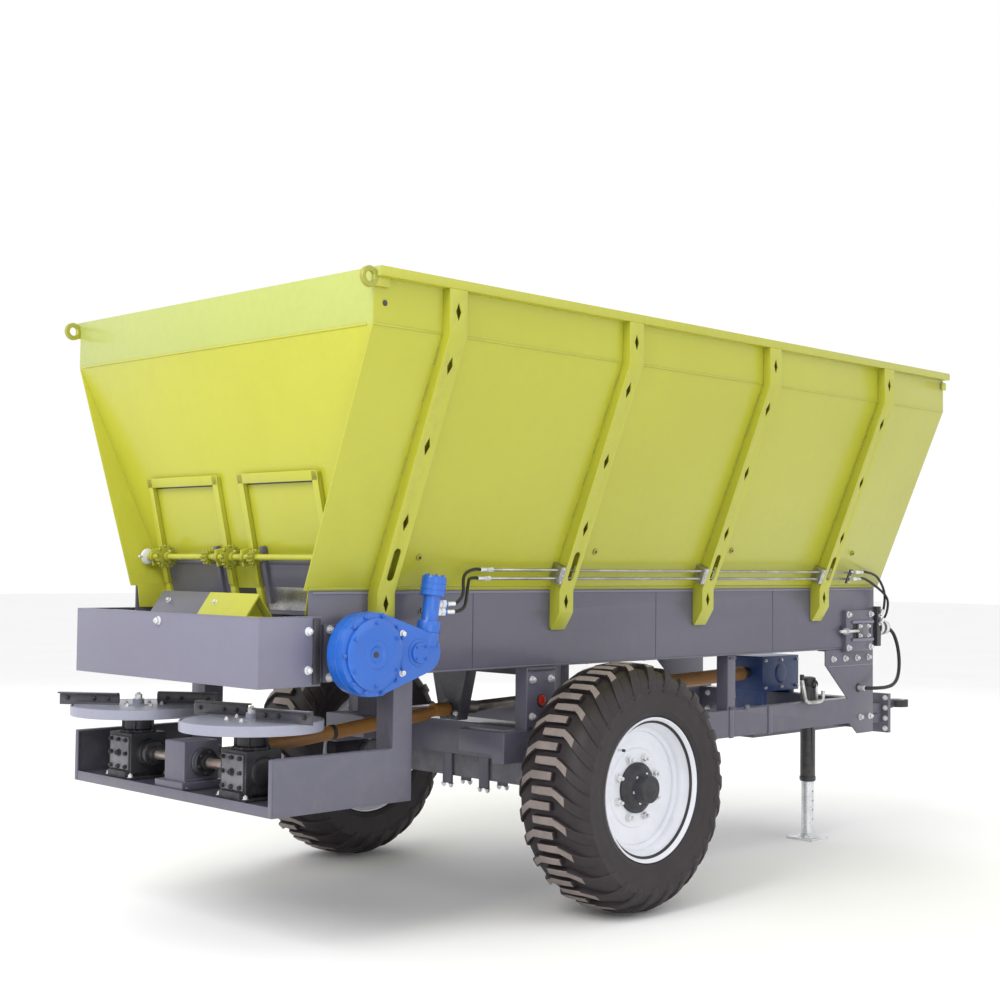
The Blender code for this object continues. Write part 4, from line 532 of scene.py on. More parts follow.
def cut_plate(name, outline, axis, low, high, finish, soft=0.0015):
    """A flat outline filled and extruded along an axis: X takes (y, z), Y takes (x, z), Z takes (x, y)."""
    places = {"X": lambda a, b: Vector((low, a, b)), "Y": lambda a, b: Vector((a, low, b)), "Z": lambda a,
            b: Vector((a, b, low))}
    points = [places[axis](a, b) for a, b in outline]
    obj = drawn(name, points)
    bpy.ops.mesh.edge_face_add()
    way = Vector((axis == "X", axis == "Y", axis == "Z")) * (high - low)
    bpy.ops.mesh.extrude_region_move(TRANSFORM_OT_translate={"value": way})
    bpy.ops.mesh.select_all(action="SELECT")
    bpy.ops.mesh.normals_make_consistent(inside=False)
    leave()
    if soft:
        soften(obj, soft)
    return coat(obj, finish)


def joined(name, pieces):
    """Several pieces made one."""
    rest_all()
    for piece in pieces:
        piece.select_set(True)
    bpy.context.view_layer.objects.active = pieces[0]
    bpy.ops.object.join()
    pieces[0].name = pieces[0].data.name = name
    return pieces[0]


def copied(obj, name, turn):
    """A copy with its own mesh, moved by a matrix."""
    made = bpy.data.objects.new(name, obj.data.copy())
    made.data.transform(turn)
    bpy.context.scene.collection.objects.link(made)
    return made


def fitted(obj, body, slot, *nodes, smooth=38.0):
    """Shade a finished piece, seat it on its body, and let it stand for CAD nodes."""
    only(obj)
    bpy.ops.object.shade_smooth_by_angle(angle=math.radians(smooth))
    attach(obj, body)
    if nodes:
        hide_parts(*nodes)
    return obj


def finished(node, pieces, slot, body="machine"):
    """Join the pieces that stand for one CAD node, and fit them to their body."""
    return fitted(joined(f"{node}_finished", pieces), body, slot, node)


def dressed(node, finish, soft=None, steps=2):
    """A copy of a CAD node's shape, merged, its flat faces cleaned and its edges rounded."""
    obj = bpy.data.objects.new(f"{node}_dressed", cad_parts[node].data.copy())
    bpy.context.scene.collection.objects.link(obj)
    edit(obj)
    bpy.ops.mesh.customdata_custom_splitnormals_clear()
    bpy.ops.mesh.remove_doubles(threshold=0.00002)
    bpy.ops.mesh.dissolve_limited(angle_limit=math.radians(0.6))
    leave()
    obj.data.materials.clear()
    soften(obj, bpy.context.scene.spreader_sizes.edge if soft is None else soft, steps)
    return coat(obj, finish)


BOLTS = {}


def bolt_model(finish, washer):
    """One hexagon bolt of unit width on its washer, standing on the XY plane."""
    head = rod("bolt_head", (0, 0, 0.10 if washer else 0.0), (0, 0, 0.75), 0.577, finish, 6)
    edit(head, False)
    pick(head, lambda mid, normal: normal.z > 0.9)
    bpy.ops.mesh.inset(thickness=0.08)
    bpy.ops.transform.translate(value=(0, 0, 0.06))
    leave()
    pieces = [head]
    end = rod("bolt_end", (0, 0, 0.70), (0, 0, 1.05), 0.27, finish, 12, 0.05)
    pieces.append(end)
    if washer:
        pieces.append(rod("bolt_washer", (0, 0, 0), (0, 0, 0.13), 0.80, finish, 20, 0.03))
    return joined(f"bolt_{finish}", pieces)


def bolts(name, spots, across, finish="zinc_plate", washer=True):
    """Bolts at (place, direction) spots, made one piece."""
    key = (finish, washer)
    if key not in BOLTS:
        BOLTS[key] = bolt_model(finish, washer).data
        bpy.data.objects.remove(bpy.data.objects[f"bolt_{finish}"])
    made = []
    for k, (place, way) in enumerate(spots):
        turn = (Matrix.Translation(place) @ Vector(way).to_track_quat("Z",
                "Y").to_matrix().to_4x4() @ Matrix.Rotation(0.7 * k, 4,
                "Z") @ Matrix.Diagonal((across, across, across, 1.0)))
        one = bpy.data.objects.new(f"{name}_{k}", BOLTS[key].copy())
        one.data.transform(turn)
        bpy.context.scene.collection.objects.link(one)
        made.append(one)
    return joined(name, made)


def smooth_route(points, spacing):
    """Points at an even spacing along a smooth curve through the given ones."""
    ends = [points[0] * 2 - points[1]] + points + [points[-1] * 2 - points[-2]]
    fine = []
    for a, b, c, d in zip(ends, ends[1:], ends[2:], ends[3:]):
        for k in range(24):
            t = k / 24
            fine.append(0.5 * (2 * b + (c - a) * t + (2 * a - 5 * b + 4 * c - d) * t ** 2
                    + (3 * b - a - 3 * c + d) * t ** 3))
    fine.append(points[-1])
    spans = [0.0]
    for a, b in zip(fine, fine[1:]):
        spans.append(spans[-1] + (b - a).length)
    count = max(4, round(spans[-1] / spacing))
    route, k = [], 0
    for i in range(count + 1):
        want = spans[-1] * i / count
        while k < len(fine) - 2 and spans[k + 1] < want:
            k += 1
        step = spans[k + 1] - spans[k]
        route.append(fine[k].lerp(fine[k + 1], min(1.0, (want - spans[k]) / step if step else 0.0)))
    return route


# ------------------------------------------------------------------ stage
class SPREADER_OT_stage(bpy.types.Operator):
    """Set the pale floor, the soft lights and the camera"""
    bl_idname = "spreader.stage"
    bl_label = "Stage"

    def execute(self, context):
        scene = context.scene
        scene.view_settings.view_transform = "Standard"
        scene.view_settings.look = "None"
        world = bpy.data.worlds.new("studio")
        world.use_nodes = True
        world.node_tree.nodes["Background"].inputs[0].default_value = (1.0, 1.0, 1.0, 1.0)
        world.node_tree.nodes["Background"].inputs[1].default_value = 1.0
        scene.world = world
        lens = bpy.data.cameras.new("camera")
        lens.lens = 55.73
        camera = bpy.data.objects.new("camera", lens)
        across = Vector((0.7015, -0.7126, 0.0110))
        up = Vector((-0.0370, -0.0210, 0.9991))
        ahead = Vector((0.7117, 0.7013, 0.0411))
        turn = Matrix((across, up, -ahead)).transposed()
        camera.rotation_mode = "QUATERNION"
        camera.rotation_quaternion = turn.to_quaternion()
        camera.location = at(-3.997, -5.773, 1.635)
        scene.collection.objects.link(camera)
        scene.camera = camera
        for name, place, size, power, tint in (("key", (-8.5, -1.5, 6.5), 4.0, 420.0, (1.0, 0.99, 0.97)),
                ("side", (1.5, -9.0, 5.0), 6.0, 90.0, (0.96, 0.98, 1.0)),
                ("low", (-5.0, -7.0, 0.9), 4.0, 60.0, (1.0, 0.99, 0.98)),
                ("far", (6.0, 7.0, 6.5), 6.0, 260.0, (1.0, 1.0, 1.0))):
            lamp = bpy.data.lights.new(name, "AREA")
            lamp.size = size
            lamp.energy = power
            lamp.color = tint
            obj = bpy.data.objects.new(name, lamp)
            obj.location = place
            obj.rotation_euler = (Vector((0.0, 0.0, 1.2)) - Vector(place)).to_track_quat("-Z",
                    "Y").to_euler()
            scene.collection.objects.link(obj)
        rest_all()
        bpy.ops.mesh.primitive_grid_add(x_subdivisions=8, y_subdivisions=8, size=120.0)
        floor = settle("floor")
        tree, shader = new_material("pale_floor")
        spot = tree.nodes.new("ShaderNodeTexCoord").outputs["Object"]
        tone = blend_colours(tree, noise(tree, spot, 0.7, 2.0), (0.90, 0.90, 0.90, 1),
                (0.94, 0.94, 0.94, 1))
        tree.links.new(tone, shader.inputs["Base Color"])
        shader.inputs["Roughness"].default_value = 0.9
        shader.inputs["Specular IOR Level"].default_value = 0.1
        coat(floor, "pale_floor")
        return {"FINISHED"}


# ------------------------------------------------------------------ hoses
def hose(name, points, radius, leave_way, arrive_way, sleeve):
    """A rubber hose between two fittings, with a crimped sleeve at each end."""
    stub = radius * 1.6
    route = smooth_route([Vector(p) for p in points], radius * 2.0)
    first = route[0] + Vector(leave_way).normalized() * stub
    last = route[-1] - Vector(arrive_way).normalized() * stub
    route = [route[0], first] + route[1:-1] + [last, route[-1]]
    curve = bpy.data.curves.new(name, "CURVE")
    curve.dimensions = "3D"
    curve.bevel_depth = radius
    curve.bevel_resolution = 4
    curve.use_fill_caps = True
    spline = curve.splines.new("POLY")
    spline.points.add(len(route) - 1)
    for point, spot in zip(spline.points, route):
        point.co = (*spot, 1.0)
    spline.use_smooth = True
    obj = bpy.data.objects.new(f"{name}_rubber", curve)
    bpy.context.scene.collection.objects.link(obj)
    curve.materials.append(FINISH["hose_rubber"])
    ends = []
    for k, (spot, way) in enumerate(((route[0], Vector(leave_way).normalized()),
            (route[-1], -Vector(arrive_way).normalized()))):
        profile = [(radius * 0.9, 0.0), (radius * 1.30, 0.002), (radius * 1.34, sleeve * 0.2),
                (radius * 1.22, sleeve * 0.28), (radius * 1.34, sleeve * 0.36),
                (radius * 1.22, sleeve * 0.5), (radius * 1.34, sleeve * 0.6),
                (radius * 1.32, sleeve * 0.94), (radius * 1.02, sleeve)]
        ends.append(turned(f"{name}_sleeve_{k}", profile, spot, way, "zinc_plate", 20))
    sleeves = fitted(joined(f"{name}_sleeves", ends), "machine", "steel")
    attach(obj, "machine")
    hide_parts(name)
    return obj


PIPE_ENDS = [(-(side_y(1.607) + 0.045), 1.607), (-(side_y(1.567) + 0.045), 1.567)]


class SPREADER_OT_hoses(bpy.types.Operator):
    """Make the five hydraulic hoses with their crimped sleeves"""
    bl_idname = "spreader.hoses"
    bl_label = "Hoses"

    def execute(self, context):
        gap, radius, block_y = 0.0008, 0.0075, -0.643
        end = at(4.660 + gap, -0.648, 1.262)
        offsets = ((0, 0, 0), (.045, -.001, -.006), (.098, -.007, -.042), (.122, -.019, -.108),
                (.118, -.035, -.186), (.082, -.056, -.262), (.020, -.078, -.318), (-.062, -.096, -.350),
                (-.150, -.103, -.361))
        supply = [end + Vector(o) for o in offsets]
        supply += [at(4.426, -0.750, 0.900), at(4.375, -0.734, 0.900), at(4.343, -0.696, 0.900),
                at(4.336, -0.660 - gap, 0.900)]
        hose("hose_supply", supply, 0.011, (1, 0, 0), (0, 1, 0), 0.050)
        labels = ("upper", "lower")
        for label, (y, z), drop, port in zip(labels, PIPE_ENDS, (0.0, 0.02), (1.330, 1.300)):
            start = at(4.200 + gap, y, z)
            route = [start, start + Vector((0.090, 0, 0)), at(4.46 + drop, y + 0.030, z - 0.030 - drop),
                    at(4.570, block_y - 0.058 - drop, z - 0.120),
                    at(4.560, block_y - 0.062 - drop, port + 0.060),
                    at(4.538, block_y - 0.0531, port + 0.010 - drop)]
            hose(f"hose_front_{label}", route, radius, (1, 0, 0), route[-1] - route[-2], 0.040)
        away = PORT_OUT.normalized()
        for label, (y, z), down, rise in zip(labels, PIPE_ENDS, MOTOR_PORTS, (0.0, 0.055)):
            start = at(*MOTOR_TOP) - MOTOR_LEAN * down + PORT_OUT + away * gap
            route = [start, start + away * 0.040,
                    start + Vector((0.085 + rise * 0.3, -0.010, 0.040 - rise * 0.3)),
                    at(0.835 + rise * 0.6, (start.y + y) / 2, z - 0.030), at(0.935, y, z),
                    at(1.020 - gap, y, z)]
            hose(f"hose_motor_{label}", route, radius, away, (1, 0, 0), 0.040)
        return {"FINISHED"}


# ------------------------------------------------------------------ hopper
class SPREADER_OT_hopper(bpy.types.Operator):
    """Make the hopper's walls, rim, lifting rings and side ribs"""
    bl_idname = "spreader.hopper"
    bl_label = "Hopper"

    def execute(self, context):
        for node in ("hopper_side_right", "hopper_side_left", "hopper_rear", "hopper_front"):
            wall = dressed(node, "green_paint", 0.0012)
            if node != "hopper_front":
                # Rear-facing faces above the fold take the paler green: painted highlight.
                edge = HOPPER_REAR + (0.05 if node == "hopper_rear" else 1.0)
                coat_faces(wall, "green_pale", lambda mid,
                        normal: mid.z > FOLD_Z - 0.002 and mid.x < edge and normal.x < -0.5)
            fitted(wall, "machine", "green_paint", node)
        for sign, side in ((-1, "right"), (1, "left")):
            self.side_trim(side, sign)
            self.lifting_ring(side, sign, context.scene.spreader_sizes.ring)
            for k, x in enumerate(RIB_X, 1):
                self.rib(side, sign, k, x)
        self.rims()
        return {"FINISHED"}

    def rib(self, side, sign, k, x):
        """A pressed rib with weld runs along its flanges, side slots and a closing foot plate, the welds and
        foot in painted shade.
        """
        rib = dressed(f"rib_{side}_{k}", "green_paint", 0.003, 3)
        pieces = [rib]
        for edge in (-1, 1):
            for part in range(7):
                z_low = 1.56 + part * 0.15
                a = at(x + edge * 0.051, sign * (side_y(z_low) + 0.002), z_low)
                b = at(x + edge * 0.051, sign * (side_y(z_low + 0.07) + 0.002), z_low + 0.07)
                pieces.append(rod(f"rib_weld_{part}_{edge}", a, b, 0.0035, "green_shade", 6, 0.0))
        pieces.append(block(f"rib_foot_{k}", at(x - 0.030, sign * 0.664, 1.352),
                at(x + 0.030, sign * 0.676, 1.372), "green_shade", 0.003))
        finished(f"rib_{side}_{k}", pieces, "green_paint")

    def side_trim(self, side, sign):
        """Folded lips, foot seam and wall plugs of one side."""
        pieces = []
        for low, high in zip([0.0] + RIB_X, RIB_X + [HOPPER_FRONT]):
            x0, x1 = low + (0.055 if low else 0.004), high - 0.055 if high != HOPPER_FRONT else high - 0.004
            y = sign * 1.116
            pieces.append(block(f"fold_{side}_{low:.1f}", at(x0, y - 0.002, FOLD_Z - 0.005),
                    at(x1, y + 0.002, FOLD_Z + 0.003), "green_paint", 0.0018))
        # The foot seam and the wall plugs are in the darker green: painted shade.
        seam = side_y(TROUGH_TOP + 0.012) + 0.001
        pieces.append(block(f"foot_seam_{side}", at(0.05, sign * seam - 0.004, TROUGH_TOP + 0.004),
                at(HOPPER_FRONT - 0.05, sign * seam + 0.004, TROUGH_TOP + 0.016), "green_shade", 0.003))
        for x, z in ((0.62, 1.66), (1.78, 1.70), (2.90, 1.72), (4.12, 1.72)):
            face = at(x, sign * (side_y(z) + 0.001), z)
            way = Vector((0, sign * math.cos(SIDE_LEAN), -math.sin(SIDE_LEAN)))
            pieces.append(rod(f"plug_{x}", face, face + way * 0.006, 0.016, "green_shade", 20, 0.002))
            pieces.append(rod(f"plug_core_{x}", face + way * 0.005, face + way * 0.009, 0.007,
                    "dark_paint", 12, 0.001))
        fitted(joined(f"hopper_trim_{side}", pieces), "machine", "green_paint")

    def lifting_ring(self, side, sign, r):
        """A ring plate welded behind each rear top corner, with its eye, and a small lug in front."""
        centre = at(0.012, sign * 1.128, RIM_TOP - 0.050)
        profile = [(r * 0.50, -0.007), (r * 0.56, -0.010), (r * 0.95, -0.010), (r, -0.007), (r, 0.007),
                (r * 0.95, 0.010), (r * 0.56, 0.010), (r * 0.50, 0.007), (r * 0.50, -0.007)]
        # The ring itself is in the darker green: painted shade.
        pieces = [turned(f"ring_{side}", profile, centre + Vector((-0.046, 0, 0.004)), (0, 1, 0),
                "green_shade", 36)]
        pieces.append(block(f"ring_root_{side}", centre + Vector((-0.028, -0.009, -0.030)),
                centre + Vector((0.060, 0.009, 0.030)), "green_paint", 0.004, 3))
        # A dark disc stands for the corner hole: painted shade.
        hole = at(0.060, sign * 1.1165, RIM_TOP - 0.140)
        pieces.append(rod(f"corner_hole_{side}", hole, hole + Vector((0, sign * 0.003, 0)), 0.012,
                "dark_paint", 20, 0.001))
        nose = at(HOPPER_FRONT - 0.012, sign * 1.128, RIM_TOP - 0.075)
        pieces.append(block(f"front_lug_{side}", nose + Vector((-0.030, -0.008, -0.024)),
                nose + Vector((0.014, 0.008, 0.022)), "green_paint", 0.006, 3))
        fitted(joined(f"lifting_ring_{side}", pieces), "machine", "green_paint")

    def rims(self):
        """Rolled caps over the end walls' top edges and the folds of the end walls."""
        pieces = []
        for x in (0.0, HOPPER_FRONT):
            inward = 1 if x == 0.0 else -1
            pieces.append(block(f"rim_cap_{x:.0f}", at(x + inward * 0.001, -1.112, RIM_TOP - 0.018),
                    at(x + inward * 0.022, 1.112, RIM_TOP - 0.001), "green_paint", 0.004, 3))
        pieces.append(block("rear_fold", at(-0.0035, -1.080, FOLD_Z - 0.004),
                at(0.004, 1.080, FOLD_Z + 0.004), "green_paint", 0.002))
        for sign in (-1, 1):
            chute = block(f"chute_{sign}", (0.0, -0.002, -0.112), (0.170, 0.002, 0.0), "green_paint",
                    0.0015)
            chute.data.transform(Matrix.Translation(at(0.064, sign * 0.652, 1.520))
                    @ Matrix.Rotation(sign * -0.20, 4, "X"))
            pieces.append(chute)
        fitted(joined("hopper_end_rims", pieces), "machine", "green_paint")


# ------------------------------------------------------------------ gates
def slope_block(name, y0, y1, z0, z1, off0, off1, finish, soft=0.002):
    """A bar lying on the rear wall's slope."""
    obj = block(name, (-off1, y0, 0), (-off0, y1, (z1 - z0) / math.cos(END_LEAN)), finish, soft)
    place = Matrix.Translation(on_rear(0, z0)) @ Matrix.Rotation(-END_LEAN, 4, "Y")
    obj.data.transform(place)
    return obj


def sprocket(name, centre, radius, teeth, thick, finish):
    """A toothed chain wheel on the cross shaft, with a bored boss."""
    outline = []
    for k in range(teeth):
        a = 2 * math.pi * k / teeth
        for share, r in ((-0.34, 0.76), (-0.12, 1.0), (0.12, 1.0), (0.34, 0.76)):
            turn = a + share * 2 * math.pi / teeth
            outline.append((centre.x + radius * r * math.cos(turn), centre.z + radius * r * math.sin(turn)))
    wheel = cut_plate(name, outline, "Y", centre.y - thick / 2, centre.y + thick / 2, finish, 0.0012)
    boss = rod(f"{name}_boss", centre + Vector((0, -0.024, 0)), centre + Vector((0, 0.024, 0)),
            radius * 0.42, finish, 24, 0.003)
    return joined(name, [wheel, boss])


class SPREADER_OT_gates(bpy.types.Operator):
    """Make the sliding gates, their guide frames and the cross shaft that lifts them"""
    bl_idname = "spreader.gates"
    bl_label = "Gates and lifting shaft"

    def execute(self, context):
        for sign, side in ((-1, "right"), (1, "left")):
            frame_piece = dressed(f"gate_guide_{side}", "green_paint", 0.003, 3)
            pieces = [frame_piece]
            for y_in in (0.081, 0.610):
                mid = sign * (y_in + 0.017)
                pieces.append(slope_block(f"lip_{side}_{y_in}", mid - 0.019, mid + 0.019,
                        TROUGH_TOP + 0.02, 2.026, 0.0225, 0.0265, "green_paint", 0.0018))
                pieces.append(slope_block(f"foot_{side}_{y_in}", mid - 0.017, mid + 0.017, 1.408, 1.520,
                        0.0003, 0.0223, "green_paint", 0.002))
            inner, outer = sign * 0.076, sign * 0.649
            pieces.append(slope_block(f"head_lip_{side}", inner, outer, 1.984, 2.028, 0.0225, 0.0265,
                    "green_paint", 0.0018))
            inner, outer = sign * 0.118, sign * 0.607
            pieces.append(slope_block(f"head_shadow_{side}", inner, outer, 1.9745, 1.9815, 0.001, 0.0035,
                    "dark_paint", 0.001))
            finished(f"gate_guide_{side}", pieces, "green_paint")
            gate = dressed(f"gate_{side}", "grey_paint", 0.0015)
            extra = [gate]
            inner, outer = sign * 0.125, sign * 0.600
            extra.append(slope_block(f"gate_stiffener_{side}", inner, outer, 1.625, 1.645, 0.009, 0.013,
                    "grey_paint", 0.002))
            if side == "right":
                extra.append(slope_block("gate_liner", inner, outer, 1.420, 1.522, 0.009, 0.0105,
                        "bare_steel", 0.0005))
            finished(f"gate_{side}", extra, "grey_paint", f"gate_plate_{side}")
        self.shaft()
        return {"FINISHED"}

    def shaft(self):
        """The cross shaft with its pinions, chain wheels, bearings, end knob and drive chain."""
        low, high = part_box("gate_shaft")
        centre = on_rear(0.0, 1.667, 0.072)
        pieces = [rod("cross_shaft", Vector((centre.x, low.y + 0.001, centre.z)),
                Vector((centre.x, high.y - 0.001, centre.z)), 0.014, "green_paint", 24)]
        # Pinions, chain wheels, rollers and bearing rings are in the darker green: painted shade.
        for sign in (-1, 1):
            for offset in (-0.012, 0.0, 0.012):
                c = Vector((centre.x, sign * 0.175 + offset, centre.z))
                pieces.append(sprocket(f"pinion_{sign}_{offset}", c, 0.037, 12, 0.008, "green_shade"))
            for y in (0.098, 0.627):
                pieces.append(slope_block(f"bearing_{sign}_{y}", sign * y - 0.006, sign * y + 0.006,
                        1.625, 1.702, 0.0225, 0.086, "green_paint", 0.005))
                c = Vector((centre.x, sign * y, centre.z))
                pieces.append(rod(f"bearing_ring_{sign}_{y}", c - Vector((0, 0.014, 0)),
                        c + Vector((0, 0.014, 0)), 0.024, "green_shade", 24, 0.003))
        for y in (0.000, 0.520):
            for offset in (-0.007, 0.007):
                c = Vector((centre.x, y + offset, centre.z))
                pieces.append(sprocket(f"chain_wheel_{y}_{offset}", c, 0.057, 9, 0.005, "green_shade"))
            for k in range(9):
                a = 2 * math.pi * (k + 0.5) / 9
                spot = Vector((centre.x + 0.050 * math.cos(a), y, centre.z + 0.050 * math.sin(a)))
                pieces.append(rod(f"chain_roller_{y}_{k}", spot - Vector((0, 0.010, 0)),
                        spot + Vector((0, 0.010, 0)), 0.0055, "green_shade", 10, 0.001))
            for z in (0.075, -0.070):
                pieces.append(rod(f"wheel_bolt_{y}_{z}",
                        Vector((centre.x + 0.01, y - 0.020, centre.z + z * 0.35)),
                        Vector((centre.x + 0.01, y + 0.020, centre.z + z * 0.35)), 0.005, "zinc_plate",
                        10, 0.001))
        knob = Vector((centre.x, high.y - 0.030, centre.z))
        pieces.append(turned("end_knob", [(0.0, -0.012), (0.020, -0.012), (0.036, -0.007), (0.038, 0.0),
                (0.034, 0.008), (0.018, 0.012), (0.0, 0.012)], knob, (0, 1, 0), "white_paint", 36))
        pieces.append(rod("knob_handle", knob + Vector((-0.024, 0, 0.0)),
                knob + Vector((-0.052, -0.006, 0.0)), 0.007, "zinc_plate", 16, 0.002))
        finished("gate_shaft", pieces, "green_paint")


# ------------------------------------------------------------------ trough and conveyor
class SPREADER_OT_trough(bpy.types.Operator):
    """Make the trough's sides, floor and bearing plates with their take-up gear"""
    bl_idname = "spreader.trough"
    bl_label = "Trough"

    def execute(self, context):
        sizes = context.scene.spreader_sizes
        fitted(dressed("trough_floor", "bare_steel", 0.0015), "machine", "grey_paint", "trough_floor")
        for sign, side in ((-1, "right"), (1, "left")):
            body = dressed(f"trough_side_{side}", "grey_paint", 0.0016)
            pieces = [body]
            face = sign * TROUGH_HALF
            for x in (1.02, 2.36, 3.42):
                pieces.append(block(f"joint_{side}_{x}", at(x - 0.0025, face - 0.0012, 1.150),
                        at(x + 0.0025, face + 0.0012, 1.506), "grey_dark", 0.001))
            # The upper lip is in the lighter grey: painted highlight along the edge.
            pieces.append(block(f"upper_lip_{side}", at(0.075, face - 0.004, 1.497),
                    at(4.500, face + 0.004, 1.509), "grey_light", 0.003))
            pieces.append(block(f"foot_lip_{side}", at(0.37, face - 0.004, 1.143),
                    at(4.500, face + 0.004, 1.152), "grey_paint", 0.003))
            out = sign * (TROUGH_HALF + 0.028)
            pieces += self.take_up(side, sign, out, sizes)
            spots = [(at(x, out, z), (0, sign, 0)) for x in (0.150, 0.350) for z in (1.150, 1.350)]
            spots += [(at(x, out, z), (0, sign, 0)) for x in (4.175, 4.425) for z in (1.150, 1.350)]
            spots += [(at(x, sign * 0.664, z), (0, sign, 0)) for x in (0.700, 0.700) for z in (1.42, 1.20)]
            pieces.append(bolts(f"trough_bolts_{side}", spots, sizes.bolt))
            finished(f"trough_side_{side}", pieces, "grey_paint")
        return {"FINISHED"}

    def take_up(self, side, sign, out, sizes):
        """The slotted take-up bearing of the idler shaft with its adjusting screw."""
        pieces = []
        c = at(IDLER_X, out, SHAFT_Z)
        way = Vector((0, sign, 0))
        y0, y1 = out - sign * 0.001, out + sign * 0.0015
        # A thin black block stands for the open slot: painted shade.
        pieces.append(block(f"slot_{side}", at(4.225, y0, 1.205), at(4.435, y1, 1.295), "black_plastic",
                0.001))
        # The slide bars are in the lighter grey: painted highlight.
        for z in (1.196, 1.304):
            y_low, y_high = out, out + sign * 0.012
            pieces.append(block(f"slide_bar_{side}_{z}", at(4.210, y_low, z - 0.009),
                    at(4.450, y_high, z + 0.009), "grey_light", 0.003))
        y_low, y_high = out, out + sign * 0.014
        pieces.append(block(f"bearing_block_{side}", at(4.270, y_low, 1.207), at(4.392, y_high, 1.293),
                "cover_iron", 0.010, 3))
        pieces.append(turned(f"bearing_cap_{side}",
                [(0.0, 0.030), (0.026, 0.030), (0.034, 0.026), (0.040, 0.014), (0.046, 0.010)], c, way,
                "cover_iron", 36))
        pieces.append(rod(f"screw_{side}", at(4.070, out + sign * 0.010, SHAFT_Z),
                at(4.272, out + sign * 0.010, SHAFT_Z), 0.009, "zinc_plate", 16, 0.002))
        y_low, y_high = out - sign * 0.02, out + sign * 0.016
        pieces.append(block(f"screw_plate_{side}", at(4.128, y_low, 1.215), at(4.140, y_high, 1.285),
                "grey_paint", 0.002))
        nuts = [(at(x, out + sign * 0.010, SHAFT_Z), (1 if x > 4.13 else -1, 0, 0)) for x in (4.128, 4.140)]
        pieces.append(bolts(f"screw_nuts_{side}", nuts, 0.026, "zinc_plate", True))
        spots = [(at(x, out + sign * 0.014, z), way) for x in (4.284, 4.378) for z in (1.222, 1.278)]
        pieces.append(bolts(f"bearing_bolts_{side}", spots, sizes.small_bolt))
        return pieces


class SPREADER_OT_conveyor(bpy.types.Operator):
    """Make the chain-and-slat floor conveyor and its two shafts"""
    bl_idname = "spreader.conveyor"
    bl_label = "Floor conveyor"

    def execute(self, context):
        links = self.links()
        pieces = []
        slat = self.slat()
        count = 9
        pitch = (IDLER_X - DRIVE_X) / count
        for k in range(count):
            x = DRIVE_X + (k + 0.5) * pitch
            pieces.append(copied(slat, f"slat_top_{k}", Matrix.Translation(at(x, 0, 1.342))))
            pieces.append(copied(slat, f"slat_low_{k}",
                    Matrix.Translation(at(x, 0, 1.158)) @ Matrix.Rotation(math.pi, 4, "X")))
        bpy.data.objects.remove(slat)
        finished("conveyor_loop", pieces + links, "steel")
        for node, x in (("conveyor_drive_shaft", DRIVE_X), ("conveyor_idler_shaft", IDLER_X)):
            shaft = dressed(node, "worn_chain", 0.002)
            extra = [shaft]
            for y in (-CHAIN_Y, CHAIN_Y):
                extra.append(sprocket(f"{node}_wheel_{y}", at(x, y, SHAFT_Z), 0.080, 10, 0.014,
                        "worn_chain"))
            finished(node, extra, "steel")
        return {"FINISHED"}

    def slat(self):
        """One pressed slat: a flat foot with an upright bar, its bottom on the chains."""
        foot = block("slat_foot", (-0.022, -0.648, -0.004), (0.022, 0.648, 0.004), "worn_chain", 0.002)
        bar = block("slat_bar", (-0.005, -0.648, 0.002), (0.005, 0.648, 0.019), "worn_chain", 0.002)
        spots = [(Vector((x, y, 0.004)), (0, 0, 1)) for x in (-0.014, 0.014) for y in (-CHAIN_Y, CHAIN_Y)]
        return joined("slat", [foot, bar, bolts("slat_bolts", spots, 0.010, "zinc_plate", False)])

    def links(self):
        """Round-link chains along both sides, modelled as one link and copied along the loop."""
        bpy.ops.mesh.primitive_torus_add(major_radius=0.020, minor_radius=0.0055, major_segments=12,
                minor_segments=6)
        link = settle("chain_link")
        edit(link, False)
        for side in (-1, 1):
            pick(link, lambda mid, normal: mid.x * side > 0.003)
            bpy.ops.transform.translate(value=(0.009 * side, 0, 0))
        leave()
        coat(link, "worn_chain")
        radius, straight = CHAIN_RADIUS, IDLER_X - DRIVE_X
        total = 2 * straight + 2 * math.pi * radius
        count = 2 * round(total / 0.046 / 2)
        made = []
        for y in (-CHAIN_Y, CHAIN_Y):
            for k in range(count):
                s = total * k / count
                if s < straight:
                    spot, angle = Vector((DRIVE_X + s, y, SHAFT_Z + radius)), 0.0
                elif s < straight + math.pi * radius:
                    angle = (s - straight) / radius
                    spot = Vector((IDLER_X + radius * math.sin(angle), y,
                            SHAFT_Z + radius * math.cos(angle)))
                elif s < 2 * straight + math.pi * radius:
                    spot, angle = Vector((IDLER_X - (s - straight - math.pi * radius), y,
                            SHAFT_Z - radius)), math.pi
                else:
                    angle = math.pi + (s - 2 * straight - math.pi * radius) / radius
                    spot = Vector((DRIVE_X + radius * math.sin(angle), y,
                            SHAFT_Z + radius * math.cos(angle)))
                turn = (Matrix.Translation(at(*spot)) @ Matrix.Rotation(angle, 4,
                        "Y") @ Matrix.Rotation(math.pi / 2 * (k % 2), 4, "X"))
                made.append(copied(link, f"link_{y}_{k}", turn))
        bpy.data.objects.remove(link)
        return made


